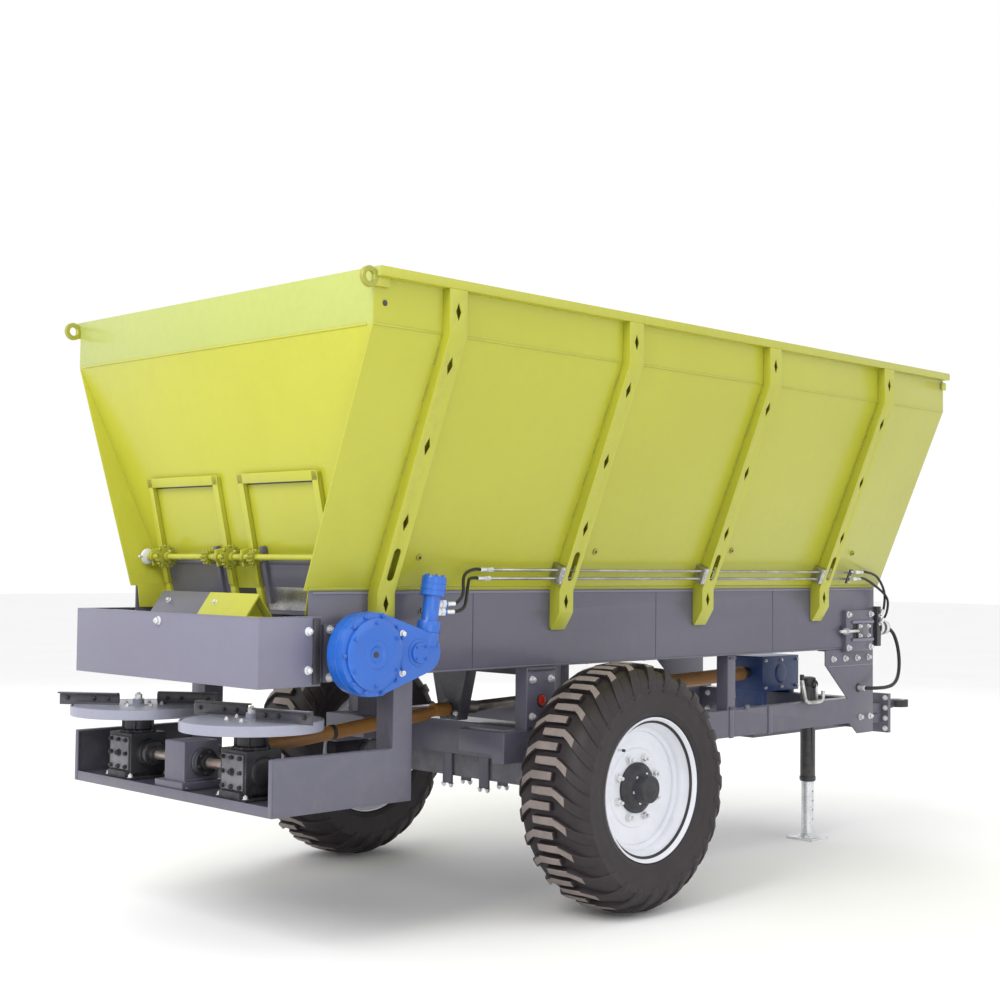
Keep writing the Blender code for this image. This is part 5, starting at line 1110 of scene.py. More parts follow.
# ------------------------------------------------------------------ apron and divider
class SPREADER_OT_apron(bpy.types.Operator):
    """Make the rear apron box and the flow divider over the discs"""
    bl_idname = "spreader.apron"
    bl_label = "Apron and divider"

    def execute(self, context):
        sizes = context.scene.spreader_sizes
        # The apron is in the lighter grey: painted light on its rear-facing box.
        pieces = [dressed("rear_apron", "grey_light", 0.002)]
        for sign in (-1, 1):
            y0, y1 = sign * 0.700, sign * 0.676
            pieces.append(block(f"apron_rim_{sign}", at(-0.222, y0, 1.402), at(0.095, y1, 1.408),
                    "grey_light", 0.002))
            y0, y1 = sign * 0.7003, sign * 0.708
            pieces.append(block(f"apron_flange_{sign}", at(0.052, y0, 1.125), at(0.090, y1, 1.400),
                    "dark_paint", 0.003))
        pieces.append(block("apron_rim_rear", at(-0.226, -0.698, 1.401), at(-0.204, 0.698, 1.408),
                "grey_light", 0.002))
        spots = [(at(-0.225, 0.020, 1.372), (-1, 0, 0))]
        spots += [(at(0.030, sign * 0.700, z), (0, sign, 0)) for sign in (-1, 1) for z in (1.345, 1.185)]
        pieces.append(bolts("apron_bolts", spots, sizes.bolt))
        finished("rear_apron", pieces, "grey_paint")
        fold = dressed("flow_divider", "grey_paint", 0.0018)
        edit(fold)
        bpy.ops.mesh.bisect(plane_co=(0, -0.040, 0), plane_no=(0, 1, 0))
        leave()
        coat_faces(fold, "green_paint", lambda mid, normal: mid.y < -0.040)
        extra = [fold, bolts("divider_bolts",
                [(at(-0.030, -0.12, 1.452), (-0.8, 0, 0.6)), (at(-0.030, 0.24, 1.452), (-0.8, 0, 0.6))],
                0.016)]
        extra.append(block("divider_joint", at(-0.121, -0.043, 1.334), at(-0.116, -0.037, 1.342),
                "dark_paint", 0.001))
        finished("flow_divider", extra, "green_paint")
        return {"FINISHED"}


# ------------------------------------------------------------------ spreading unit
class SPREADER_OT_tray(bpy.types.Operator):
    """Make the channel tray that carries the spreading unit"""
    bl_idname = "spreader.tray"
    bl_label = "Spreading tray"

    def execute(self, context):
        body = dressed("spreader_tray", "grey_paint", 0.0022)
        # The tray's floor and inner walls take the darker grey: painted shade inside the channel.
        inside = HOPPER_REAR + 0.44
        coat_faces(body, "grey_dark", lambda mid,
                normal: mid.z < 0.836 and mid.x < inside
                and ((normal.z > 0.5 and abs(mid.y) < 0.750)
                or (normal.y * mid.y < 0 and abs(normal.y) > 0.5 and abs(mid.y) > 0.6)))
        pieces = [body]
        for sign in (-1, 1):
            y = sign * 0.756
            pieces.append(block(f"tray_return_{sign}", at(-0.1885, y, 0.605),
                    at(-0.181, y - sign * 0.024, 0.836), "grey_paint", 0.002))
            pieces.append(block(f"tray_lip_{sign}", at(-0.184, y, 0.829),
                    at(0.440, y - sign * 0.030, 0.838), "grey_paint", 0.003))
        pieces.append(block("tray_rear_lip", at(-0.1875, -0.7315, 0.604), at(-0.181, 0.7315, 0.648),
                "grey_paint", 0.002))
        finished("spreader_tray", pieces, "grey_paint")
        return {"FINISHED"}


def bolt_square(x, y, z, half, way):
    """Eight spots round the edge of a square cover in the YZ plane."""
    return [(Vector((x, y - half + half * a, z - half + half * b)), way) for a in range(3)
            for b in range(3) if (a, b) != (1, 1)]


class SPREADER_OT_gearboxes(bpy.types.Operator):
    """Make the two bevel boxes, the centre box, their couplings and cross shafts"""
    bl_idname = "spreader.gearboxes"
    bl_label = "Bevel gearboxes"

    def execute(self, context):
        sizes = context.scene.spreader_sizes
        for sign, side in ((-1, "right"), (1, "left")):
            self.bevel_box(side, sign, sizes)
        self.centre_box(sizes)
        return {"FINISHED"}

    def bevel_box(self, side, sign, sizes):
        """A cast cube with bolted square covers, a round neck under the disc and a seal."""
        node = f"gearbox_{side}"
        centre = at(BOX_X, sign * BOX_Y, BOX_Z)
        pieces = [dressed(node, "cast_iron", 0.007, 3)]
        rear = centre.x - 0.090
        pieces.append(block(f"{node}_cover", (rear - 0.007, centre.y - 0.074, centre.z - 0.074),
                (rear + 0.001, centre.y + 0.074, centre.z + 0.074), "cover_iron", 0.003))
        pieces.append(block(f"{node}_gasket", (rear - 0.002, centre.y - 0.077, centre.z - 0.077),
                (rear + 0.002, centre.y + 0.077, centre.z + 0.077), "black_plastic", 0.001))
        pieces.append(bolts(f"{node}_cover_bolts",
                bolt_square(rear - 0.007, centre.y, centre.z, 0.060, (-1, 0, 0)), sizes.small_bolt,
                "cast_iron", False))
        pieces.append(bolts(f"{node}_plug", [(Vector((rear - 0.007, centre.y, centre.z)), (-1, 0, 0))],
                0.022, "cast_iron"))
        for k in range(8):
            a = math.radians(45 * k + 22.5)
            spot = Vector((centre.x + 0.076 * math.cos(a), centre.y + 0.076 * math.sin(a),
                    centre.z + 0.090))
            pieces.append(bolts(f"{node}_top_{k}", [(spot, (0, 0, 1))], 0.013, "cast_iron", False))
        profile = [(0.074, 0.0), (0.078, 0.002), (0.078, 0.010), (0.066, 0.014), (0.0605, 0.016),
                (0.0605, 0.108), (0.052, 0.112)]
        pieces.append(turned(f"{node}_neck", profile, centre + Vector((0, 0, 0.089)), (0, 0, 1),
                "cast_iron", 48))
        for k in range(4):
            a = math.radians(90 * k + 45)
            foot = Vector((centre.x + 0.062 * math.cos(a), centre.y + 0.062 * math.sin(a),
                    centre.z + 0.096))
            rib = block(f"{node}_rib_{k}", (-0.004, -0.004, 0), (0.012, 0.004, 0.085), "cast_iron", 0.003)
            rib.data.transform(Matrix.Translation(foot) @ Matrix.Rotation(a, 4, "Z"))
            pieces.append(rib)
        out = centre + Vector((0, sign * 0.090, 0))
        pieces.append(turned(f"{node}_outer_cover",
                [(0.0, 0.010), (0.040, 0.010), (0.050, 0.008), (0.062, 0.003), (0.064, 0.0)], out,
                (0, sign, 0), "cast_iron", 40))
        pieces.append(block(f"{node}_foot", at(-0.160, centre.y - 0.105, 0.640),
                at(0.050, centre.y + 0.105, 0.652), "cast_iron", 0.003))
        spots = [(at(x, centre.y + dy, 0.652), (0, 0, 1)) for x in (-0.148, 0.038)
                for dy in (-0.092, 0.092)]
        pieces.append(bolts(f"{node}_foot_bolts", spots, sizes.small_bolt))
        finished(node, pieces, "dark_paint")

    def centre_box(self, sizes):
        """The centre box on its foot plate, with flanged couplings and the two cross shafts."""
        centre = at(BOX_X, 0, BOX_Z)
        pieces = [dressed("gearbox_centre", "grey_paint", 0.005, 3)]
        rear = centre.x - 0.0756
        pieces.append(block("centre_cover", (rear - 0.006, -0.062, centre.z - 0.062),
                (rear + 0.001, 0.062, centre.z + 0.062), "grey_paint", 0.004))
        pieces.append(bolts("centre_cover_bolts",
                bolt_square(rear - 0.006, 0, centre.z, 0.050, (-1, 0, 0)), 0.009, "grey_paint", False))
        for sign in (-1, 1):
            pieces.append(turned(f"shaft_skin_{sign}", [(0.0225, 0.124), (0.0225, 0.312)], centre,
                    (0, sign, 0), "shaft_steel", 32))
            pieces.append(turned(f"coupling_{sign}",
                    [(0.030, 0.060), (0.056, 0.062), (0.0595, 0.066), (0.0595, 0.086), (0.050, 0.089),
                    (0.050, 0.094), (0.0595, 0.097), (0.0595, 0.114), (0.055, 0.118), (0.034, 0.118),
                    (0.034, 0.136), (0.022, 0.138)], centre, (0, sign, 0), "cast_iron", 48))
            pieces.append(turned(f"far_coupling_{sign}",
                    [(0.022, 0.262), (0.034, 0.264), (0.034, 0.288), (0.052, 0.290), (0.055, 0.294),
                    (0.055, 0.312)], centre, (0, sign, 0), "dark_paint", 48))
            spots = [(centre + Vector((0.045 * math.cos(a), sign * 0.118, 0.045 * math.sin(a))),
                    (0, sign, 0)) for a in (0.3, 1.35, 2.4, 3.45, 4.5, 5.55)]
            pieces.append(bolts(f"coupling_bolts_{sign}", spots, 0.012, "cast_iron", False))
        top = centre.z + 0.0756
        spots = [(Vector((centre.x + a * 0.062, b * 0.062, top)), (0, 0, 1)) for a in (-1, 1)
                for b in (-1, 0, 1)]
        pieces.append(bolts("centre_top_bolts", spots, 0.013, "zinc_plate", False))
        spots = [(at(x, y, 0.652), (0, 0, 1)) for x in (-0.150, 0.025) for y in (-0.088, 0.088)]
        pieces.append(bolts("centre_foot_bolts", spots, sizes.bolt))
        finished("gearbox_centre", pieces, "dark_paint")


class SPREADER_OT_discs(bpy.types.Operator):
    """Make the two spinning discs with their throwing blades"""
    bl_idname = "spreader.discs"
    bl_label = "Spinner discs"

    def execute(self, context):
        for sign, side in ((-1, "right"), (1, "left")):
            node = f"disc_{side}"
            centre = at(BOX_X, sign * BOX_Y, 0.962)
            body = dressed(node, "disc_paint", 0.0012)
            coat_faces(body, "cast_iron", lambda mid,
                    normal: (mid.xy - centre.xy).length < 0.075 and mid.z < 0.930)
            coat_faces(body, "grey_dark", lambda mid, normal: mid.z > 0.9705 and normal.z < 0.7)
            pieces = [body]
            for k in range(1, 12, 2):
                a = 2 * math.pi * k / 12
                spot = centre + Vector((0.105 * math.cos(a), 0.105 * math.sin(a), 0.006))
                pieces.append(bolts(f"{node}_hub_{k}", [(spot, (0, 0, 1))], 0.014, "zinc_plate"))
            pieces.append(turned(f"{node}_boss",
                    [(0.0, 0.034), (0.022, 0.034), (0.026, 0.030), (0.026, 0.012), (0.052, 0.010),
                    (0.058, 0.006)], centre, (0, 0, 1), "disc_paint", 40))
            pieces.append(bolts(f"{node}_nut", [(centre + Vector((0, 0, 0.032)), (0, 0, 1))], 0.030,
                    "zinc_plate"))
            profile = [(0.2990, -0.034), (0.3030, -0.036), (0.3040, -0.030), (0.3040, 0.004),
                    (0.3015, 0.0068), (0.2960, 0.0066)]
            pieces.append(turned(f"{node}_rim", profile, centre, (0, 0, 1), "disc_paint", 96))
            self.blades(node, side, sign, centre, pieces)
            finished(node, pieces, "disc_paint", f"spinner_{side}")
        return {"FINISHED"}

    def blades(self, node, side, sign, centre, pieces):
        """Wear plates, folded ends and bolts of the two blades on one disc."""
        tip_angle = math.radians(97 if side == "right" else 135)
        for k in range(2):
            tip_a = tip_angle + math.pi * k
            root_a = tip_a + sign * 0.55
            root = centre + Vector((0.09 * math.cos(root_a), 0.09 * math.sin(root_a), 0.006))
            tip = centre + Vector((0.355 * math.cos(tip_a), 0.355 * math.sin(tip_a), 0.006))
            run = (tip - root).normalized()
            side_way = Vector((-run.y, run.x, 0))
            plate = block(f"{node}_wear_{k}", (0, -0.0068, 0.010), ((tip - root).length, 0.0068, 0.050),
                    "grey_dark", 0.002)
            coat_faces(plate, "disc_paint", lambda mid,
                    normal: mid.x > (tip - root).length * 0.6 and normal.y * sign < -0.5)
            plate.data.transform(Matrix.Translation(root)
                    @ Matrix((run, side_way, (0, 0, 1))).transposed().to_4x4())
            pieces.append(plate)
            spots = []
            for share in (0.18, 0.42, 0.88):
                base = root.lerp(tip, share) + Vector((0, 0, 0.030))
                spots += [(base + side_way * 0.0068, side_way), (base - side_way * 0.0068, -side_way)]
            pieces.append(bolts(f"{node}_blade_bolts_{k}", spots, 0.014, "cast_iron"))


# ------------------------------------------------------------------ conveyor drive
class SPREADER_OT_drive(bpy.types.Operator):
    """Make the conveyor's reduction box and its hydraulic motor"""
    bl_idname = "spreader.drive"
    bl_label = "Conveyor drive"

    def execute(self, context):
        body = dressed("conveyor_gearbox", "blue_paint", 0.004, 3)
        coat_faces(body, "dark_paint", lambda mid, normal: mid.y > -0.7605)
        pieces = [body]
        big = at(DRIVE_X, DRIVE_FACE, SHAFT_Z)
        way = (0, -1, 0)
        profile = [(0.152, 0.0), (0.152, 0.0110), (0.148, 0.0140), (0.110, 0.0160), (0.060, 0.0165),
                (0.034, 0.0165), (0.030, 0.0130), (0.016, 0.0125), (0.0, 0.0125)]
        pieces.append(turned("drive_cover", profile, big, way, "blue_paint", 72))
        pieces.append(rod("drive_centre", big + Vector((0, -0.0120, 0)), big + Vector((0, -0.0150, 0)),
                0.013, "dark_paint", 20))
        spots = [(big + Vector((0.133 * math.cos(a), -0.014, 0.133 * math.sin(a))), way)
                for a in [math.radians(30 + 60 * k) for k in range(6)]]
        pieces.append(bolts("drive_cover_bolts", spots, 0.014, "blue_paint", True))
        pieces.append(turned("drive_bearing",
                [(0.062, 0.0160), (0.058, 0.0200), (0.040, 0.0205), (0.034, 0.0160)], big, way,
                "blue_paint", 48))
        bright = [(at(0.410, DRIVE_FACE, z), way) for z in (1.333, 1.167)]
        pieces.append(bolts("drive_bright_bolts", bright, 0.020))
        small = at(0.505, DRIVE_FACE, SHAFT_Z)
        pieces.append(turned("drive_boss", [(0.060, 0.0), (0.058, 0.004), (0.046, 0.006), (0.046, 0.016),
                (0.043, 0.0195), (0.030, 0.0195), (0.027, 0.017), (0.0, 0.017)], small, way, "blue_paint",
                48))
        spots = [(small + Vector((0.036 * math.cos(a), -0.019, 0.036 * math.sin(a))), way)
                for a in [math.radians(45 + 90 * k) for k in range(4)]]
        pieces.append(bolts("drive_boss_bolts", spots, 0.010, "blue_paint", False))
        spots = []
        for x, z in ((0.130, 1.378), (0.200, 1.416), (0.300, 1.418), (0.392, 1.376), (0.462, 1.340),
                (0.130, 1.122), (0.200, 1.084), (0.300, 1.082), (0.392, 1.124), (0.462, 1.160),
                (0.088, SHAFT_Z)):
            away = Vector((x - DRIVE_X, 0, z - SHAFT_Z))
            spots.append((at(DRIVE_X, DRIVE_FACE, SHAFT_Z) + away.normalized() * min(away.length, 0.166),
                    way))
        pieces.append(bolts("drive_case_bolts", spots, 0.016, "blue_paint", True))
        outline = [(DRIVE_X + 0.1785 * math.cos(a), SHAFT_Z + 0.1785 * math.sin(a))
                for a in [math.radians(60 + 8 * k) for k in range(31)]]
        pieces.append(self.seam(outline))
        finished("conveyor_gearbox", pieces, "blue_paint")
        self.motor()
        return {"FINISHED"}

    def seam(self, outline):
        """The raised split flange round the big end of the box."""
        inner = [(DRIVE_X + (x - DRIVE_X) * 0.975, SHAFT_Z + (z - SHAFT_Z) * 0.975) for x,
                z in reversed(outline)]
        ring = [(at(x, 0, z).x, z) for x, z in outline + inner]
        return cut_plate("drive_seam", ring, "Y", -0.820, -0.808, "blue_paint", 0.002)

    def motor(self):
        """The orbital motor with its end cover, port block and through bolts."""
        lean = MOTOR_LEAN
        top = at(*MOTOR_TOP)
        pieces = [dressed("conveyor_motor", "blue_paint", 0.003, 3)]
        profile = [(0.0, 0.0012), (0.030, 0.0012), (0.044, -0.002), (0.0552, -0.008), (0.0552, -0.030),
                (0.0535, -0.032), (0.0535, -0.036), (0.0552, -0.038), (0.0552, -0.058), (0.0535, -0.060),
                (0.0535, -0.064), (0.0552, -0.066), (0.0552, -0.084)]
        pieces.append(turned("motor_stack", profile, top, lean, "blue_paint", 48))
        side = Vector((lean.z, 0, -lean.x))
        spots = []
        for k in range(6):
            a = math.radians(60 * k)
            spots.append((top + side * (0.040 * math.cos(a)) + Vector((0, 0.040 * math.sin(a), 0))
                    - lean * 0.002, lean))
        pieces.append(bolts("motor_bolts", spots, 0.012, "blue_paint", False))
        for down in MOTOR_PORTS:
            profile = [(0.0165, 0.030), (0.0185, 0.034), (0.0185, 0.048), (0.0165, 0.050),
                    (0.0185, 0.052), (0.0185, 0.068), (0.0165, 0.0705), (0.0130, 0.0770)]
            pieces.append(turned(f"motor_fitting_{down}", profile, top - lean * down,
                    PORT_OUT.normalized(), "zinc_plate", 6))
        seat = top - lean * 0.245
        spots = [(seat + side * (0.040 * math.cos(a)) + Vector((0, 0.040 * math.sin(a), 0))
                + lean * 0.004, lean) for a in [math.radians(45 + 90 * k) for k in range(4)]]
        pieces.append(bolts("motor_seat_bolts", spots, 0.014, "blue_paint"))
        finished("conveyor_motor", pieces, "blue_paint")


# ------------------------------------------------------------------ chassis
class SPREADER_OT_chassis(bpy.types.Operator):
    """Make the frame rails, cross member, axle saddle and axle"""
    bl_idname = "spreader.chassis"
    bl_label = "Chassis and axle"

    def execute(self, context):
        sizes = context.scene.spreader_sizes
        for sign, side in ((-1, "right"), (1, "left")):
            node = f"chassis_rail_{side}"
            pieces = [dressed(node, "grey_paint", 0.0045, 3)]
            face = sign * RAIL_HALF
            out = (0, sign, 0)
            for x in (3.030, 3.400):
                y0, y1 = face - sign * 0.002, face + sign * 0.006
                pieces.append(block(f"joint_band_{side}_{x}", at(x - 0.020, y0, 0.686),
                        at(x + 0.020, y1, 0.844), "grey_paint", 0.004))
            y0, y1 = face, face + sign * 0.010
            for x0, x1 in ((1.395, 1.585), (3.005, 3.065)):
                pieces.append(block(f"column_foot_{side}_{x0}", at(x0, y0, 0.846), at(x1, y1, 0.858),
                        "grey_dark", 0.003))
                pieces.append(block(f"column_head_{side}_{x0}", at(x0, y0, 1.122), at(x1, y1, 1.134),
                        "grey_dark", 0.003))
            spots = [(at(x, face, z), out) for x in (1.425, 1.555) for z in (0.905, 1.080)]
            spots += [(at(x, face, 1.084), out) for x in (4.054, 4.186, 4.319, 4.451)]
            spots += [(at(x, face, 0.720), out) for x in (4.360, 4.470)]
            spots += [(at(x, face, z), out) for x in (1.630, 1.770) for z in (0.720, 0.800)]
            pieces.append(bolts(f"rail_bolts_{side}", spots, sizes.bolt))
            spot = at(1.490, face, 0.980)
            pieces.append(rod(f"reflector_cup_{side}", spot, spot + Vector((0, sign * 0.006, 0)), 0.031,
                    "black_plastic", 36, 0.002))
            pieces.append(turned(f"reflector_{side}", [(0.0, 0.0095), (0.016, 0.009), (0.026, 0.006)],
                    spot, out, "warning_red", 36))
            # A light strip along the gusset's bend: painted highlight.
            bend0, bend1 = face - sign * 0.002, face + sign * 0.004
            pieces.append(block(f"gusset_bend_{side}", at(4.000, bend0, 1.036), at(4.500, bend1, 1.044),
                    "grey_light", 0.002))
            hook0, hook1 = face, face + sign * 0.012
            pieces.append(block(f"hook_{side}", at(3.150, hook0, 0.838), at(3.190, hook1, 0.862),
                    "grey_paint", 0.004))
            if side == "right":
                hole = at(4.336, face, 0.900)
                pieces.append(turned("grommet",
                        [(0.014, 0.0), (0.014, 0.005), (0.020, 0.007), (0.027, 0.004), (0.029, 0.0)],
                        hole + Vector((0, 0.0006, 0)), out, "black_plastic", 36))
                self.crank_pipe(pieces)
            finished(node, pieces, "grey_paint")
        fitted(dressed("cross_member_middle", "grey_paint", 0.003), "machine", "grey_paint",
                "cross_member_middle")
        self.axle()
        return {"FINISHED"}

    def crank_pipe(self, pieces):
        """A bright bent pipe standing on a bracket of the right rail."""
        points = [at(3.680, -0.690, 0.980), at(3.690, -0.700, 0.900), at(3.700, -0.702, 0.862),
                at(3.730, -0.703, 0.846), at(3.850, -0.703, 0.846), at(3.880, -0.703, 0.862),
                at(3.885, -0.700, 0.905)]
        route = smooth_route(points, 0.022)
        for k, (a, b) in enumerate(zip(route, route[1:])):
            pieces.append(rod(f"crank_{k}", a - (b - a) * 0.06, b + (b - a) * 0.06, 0.011, "bare_steel",
                    16))
        pieces.append(block("crank_bracket", at(3.780, -0.706, 0.838), at(3.820, -0.659, 0.850),
                "grey_paint", 0.003))
        pieces.append(rod("crank_knob", points[0] - Vector((0, 0, 0.004)),
                points[0] + Vector((0, 0, 0.030)), 0.013, "black_plastic", 24, 0.004))

    def axle(self):
        """The axle beam with its clamp plates, and the saddle bolted over it."""
        pieces = [dressed("axle_saddle", "grey_paint", 0.004, 3)]
        spots = []
        for sign in (-1, 1):
            for x in (1.630, 1.770):
                for y in (0.108, 0.162):
                    spots.append((at(x, sign * y, 0.487), (0, 0, -1)))
        pieces.append(bolts("saddle_bolts", spots, 0.020))
        finished("axle_saddle", pieces, "grey_paint")
        pieces = [dressed("axle_beam", "cover_iron", 0.006, 3)]
        for sign in (-1, 1):
            y0, y1 = sign * 0.555, sign * 0.675
            pieces.append(block(f"axle_clamp_{sign}", at(1.618, y0, 0.6472), at(1.782, y1, 0.659),
                    "grey_paint", 0.003))
            pieces.append(block(f"axle_plate_{sign}", at(1.618, y0, 0.515), at(1.782, y1, 0.527),
                    "grey_paint", 0.003))
            spots = []
            for x in (1.629, 1.771):
                for y in (0.580, 0.650):
                    pieces.append(rod(f"clamp_rod_{sign}_{x}_{y}", at(x, sign * y, 0.500),
                            at(x, sign * y, 0.676), 0.009, "zinc_plate", 16))
                    spots.append((at(x, sign * y, 0.515), (0, 0, -1)))
                    spots.append((at(x, sign * y, 0.659), (0, 0, 1)))
            pieces.append(bolts(f"axle_nuts_{sign}", spots, 0.024))
            collar = at(1.700, sign * 0.790, 0.587)
            pieces.append(turned(f"axle_collar_{sign}",
                    [(0.040, -0.004), (0.068, -0.002), (0.070, 0.003), (0.070, 0.013), (0.064, 0.017),
                    (0.040, 0.018)], collar, (0, sign, 0), "cover_iron", 40))
        finished("axle_beam", pieces, "dark_paint")


class SPREADER_OT_drawbar(bpy.types.Operator):
    """Make the drawbar, its bolted tow eye and the parking jack"""
    bl_idname = "spreader.drawbar"
    bl_label = "Drawbar and jack"

    def execute(self, context):
        sizes = context.scene.spreader_sizes
        pieces = [dressed("drawbar", "grey_paint", 0.005, 3)]
        spots = [(at(4.390, sign * y, z), (-1, 0, 0)) for sign in (-1, 1) for y in (0.300, 0.520)
                for z in (0.690, 0.790)]
        spots += [(at(5.620, sign * 0.090, z), (-1, 0, 0)) for sign in (-1, 1)
                for z in (0.520, 0.590, 0.660, 0.730)]
        pieces.append(bolts("drawbar_bolts", spots, sizes.bolt))
        for sign in (-1, 1):
            pieces.append(block(f"drawbar_seam_{sign}", at(4.500, sign * 0.061 - 0.003, 0.622),
                    at(5.560, sign * 0.061 + 0.003, 0.628), "grey_dark", 0.002))
        finished("drawbar", pieces, "grey_paint")
        pieces = [dressed("tow_eye", "cast_iron", 0.004, 3)]
        spots = [(at(5.686, sign * 0.056, z), (1, 0, 0)) for sign in (-1, 1) for z in (0.535, 0.602, 0.732)]
        pieces.append(bolts("eye_bolts", spots, 0.022))
        eye = at(5.930, 0, 0.672)
        for sign in (-1, 1):
            pieces.append(turned(f"eye_wear_{sign}",
                    [(0.036, 0.0235), (0.038, 0.0262), (0.056, 0.0262), (0.058, 0.0240)], eye,
                    (0, 0, sign), "bare_steel", 48))
        finished("tow_eye", pieces, "dark_paint")
        self.jack()
        return {"FINISHED"}

    def jack(self):
        """The jack's black tube with its crank, and the plated leg on its foot."""
        pieces = [dressed("jack_tube", "dark_paint", 0.003)]
        top = at(JACK_X, JACK_Y, 0.960)
        pieces.append(turned("jack_cap", [(0.0, 0.012), (0.030, 0.012), (0.046, 0.006), (0.0475, 0.0),
                (0.0475, -0.040), (0.045, -0.044)], top, (0, 0, 1), "dark_paint", 40))
        side = top + Vector((0, -0.045, -0.030))
        pieces.append(turned("jack_gear", [(0.0, 0.016), (0.018, 0.016), (0.024, 0.010), (0.024, -0.006)],
                side, (0, -1, 0), "dark_paint", 32))
        pieces.append(rod("jack_crank_arm", side + Vector((0, -0.010, 0)),
                side + Vector((0.014, -0.014, -0.110)), 0.007, "zinc_plate", 16, 0.001))
        pieces.append(rod("jack_crank_grip", side + Vector((0.014, -0.012, -0.108)),
                side + Vector((0.014, -0.068, -0.108)), 0.011, "black_plastic", 20, 0.003))
        pieces.append(turned("jack_lip", [(0.0455, -0.012), (0.0485, -0.010), (0.0485, 0.010),
                (0.0455, 0.012)], at(JACK_X, JACK_Y, 0.362), (0, 0, 1), "dark_paint", 40))
        finished("jack_tube", pieces, "dark_paint")
        pieces = [dressed("jack_leg", "zinc_plate", 0.002)]
        foot = at(JACK_X, JACK_Y, 0.014)
        pieces.append(turned("jack_socket", [(0.060, 0.0), (0.058, 0.005), (0.046, 0.008), (0.044, 0.016),
                (0.0372, 0.020)], foot, (0, 0, 1), "zinc_plate", 40))
        # Dark discs stand for the leg's pin holes: painted shade.
        for k in range(4):
            hole = at(JACK_X, JACK_Y, 0.120 + 0.055 * k)
            pieces.append(rod(f"leg_hole_{k}", hole + Vector((0, -0.0355, 0)),
                    hole + Vector((0, -0.0369, 0)), 0.0055, "dark_paint", 20))
        finished("jack_leg", pieces, "steel", "jack_foot")


# ------------------------------------------------------------------ driveline
class SPREADER_OT_driveline(bpy.types.Operator):
    """Make the front gearbox, the guarded shafts and the hanger bearing"""
    bl_idname = "spreader.driveline"
    bl_label = "Drive line"

    def execute(self, context):
        sizes = context.scene.spreader_sizes
        # The front gearbox and its covers are in the darker blue: painted shade.
        box = [dressed("front_gearbox", "blue_shade", 0.006, 3)]
        spots = [(at(x, sign * 0.120, z), (0, sign, 0)) for sign in (-1, 1) for x in (4.125, 4.300, 4.475)
                for z in (0.875, 1.045)]
        box.append(bolts("front_box_bolts", spots, sizes.small_bolt, "zinc_plate", False))
        for sign in (-1, 1):
            box.append(turned(f"front_cover_{sign}",
                    [(0.0, 0.008), (0.050, 0.008), (0.062, 0.004), (0.066, 0.0)],
                    at(4.300, sign * 0.120, 0.960), (0, sign, 0), "blue_shade", 40))
        finished("front_gearbox", box, "dark_paint")
        self.line_shaft()
        self.rear_shaft()
        hang = [dressed("shaft_hanger", "grey_dark", 0.003)]
        c = at(1.500, 0, HANGER_Z)
        hang.append(turned("hanger_bearing", [(0.032, -0.006), (0.046, -0.004), (0.052, 0.000)], c,
                (-1, 0, 0), "cover_iron", 40))
        spots = [(at(1.500, sign * 0.058, 0.872), (-1, 0, 0)) for sign in (-1, 1)]
        hang.append(bolts("hanger_bolts", spots, 0.018))
        finished("shaft_hanger", hang, "grey_paint")
        return {"FINISHED"}

    def line_shaft(self):
        """The long shaft to the front box, with its guard tube and couplings."""
        a, b = at(1.600, 0, HANGER_Z), at(4.0997, 0, 0.965)
        way = (b - a).normalized()
        pieces = [dressed("line_shaft", "worn_chain", 0.001)]
        pieces.append(turned("line_guard", [(0.030, 1.052), (0.0425, 1.054), (0.0432, 1.075),
                (0.0425, 1.100), (0.0425, 2.380), (0.0440, 2.395), (0.0440, 2.440), (0.030, 2.446)], a,
                way, "guard_plastic", 40))
        finished("line_shaft", pieces, "guard")

    def rear_shaft(self):
        """The guarded joint shaft to the centre box, with ribbed bellows at its rear end."""
        a, b = at(0.0853, 0, 0.767), at(1.540, 0, HANGER_Z)
        way = (b - a).normalized()
        pieces = [dressed("rear_drive_shaft", "guard_plastic", 0.0015)]
        profile = [(0.034, 0.105)]
        for ring in range(6):
            h = 0.110 + ring * 0.022
            profile += [(0.0355, h), (0.0392, h + 0.006), (0.0392, h + 0.012), (0.0355, h + 0.018)]
        profile.append((0.0345, 0.250))
        pieces.append(turned("bellows", profile, a, way, "guard_plastic", 40))
        pieces.append(turned("guard_band", [(0.0352, 0.640), (0.0378, 0.642), (0.0378, 0.662),
                (0.0352, 0.664)], a, way, "black_plastic", 40))
        finished("rear_drive_shaft", pieces, "guard")


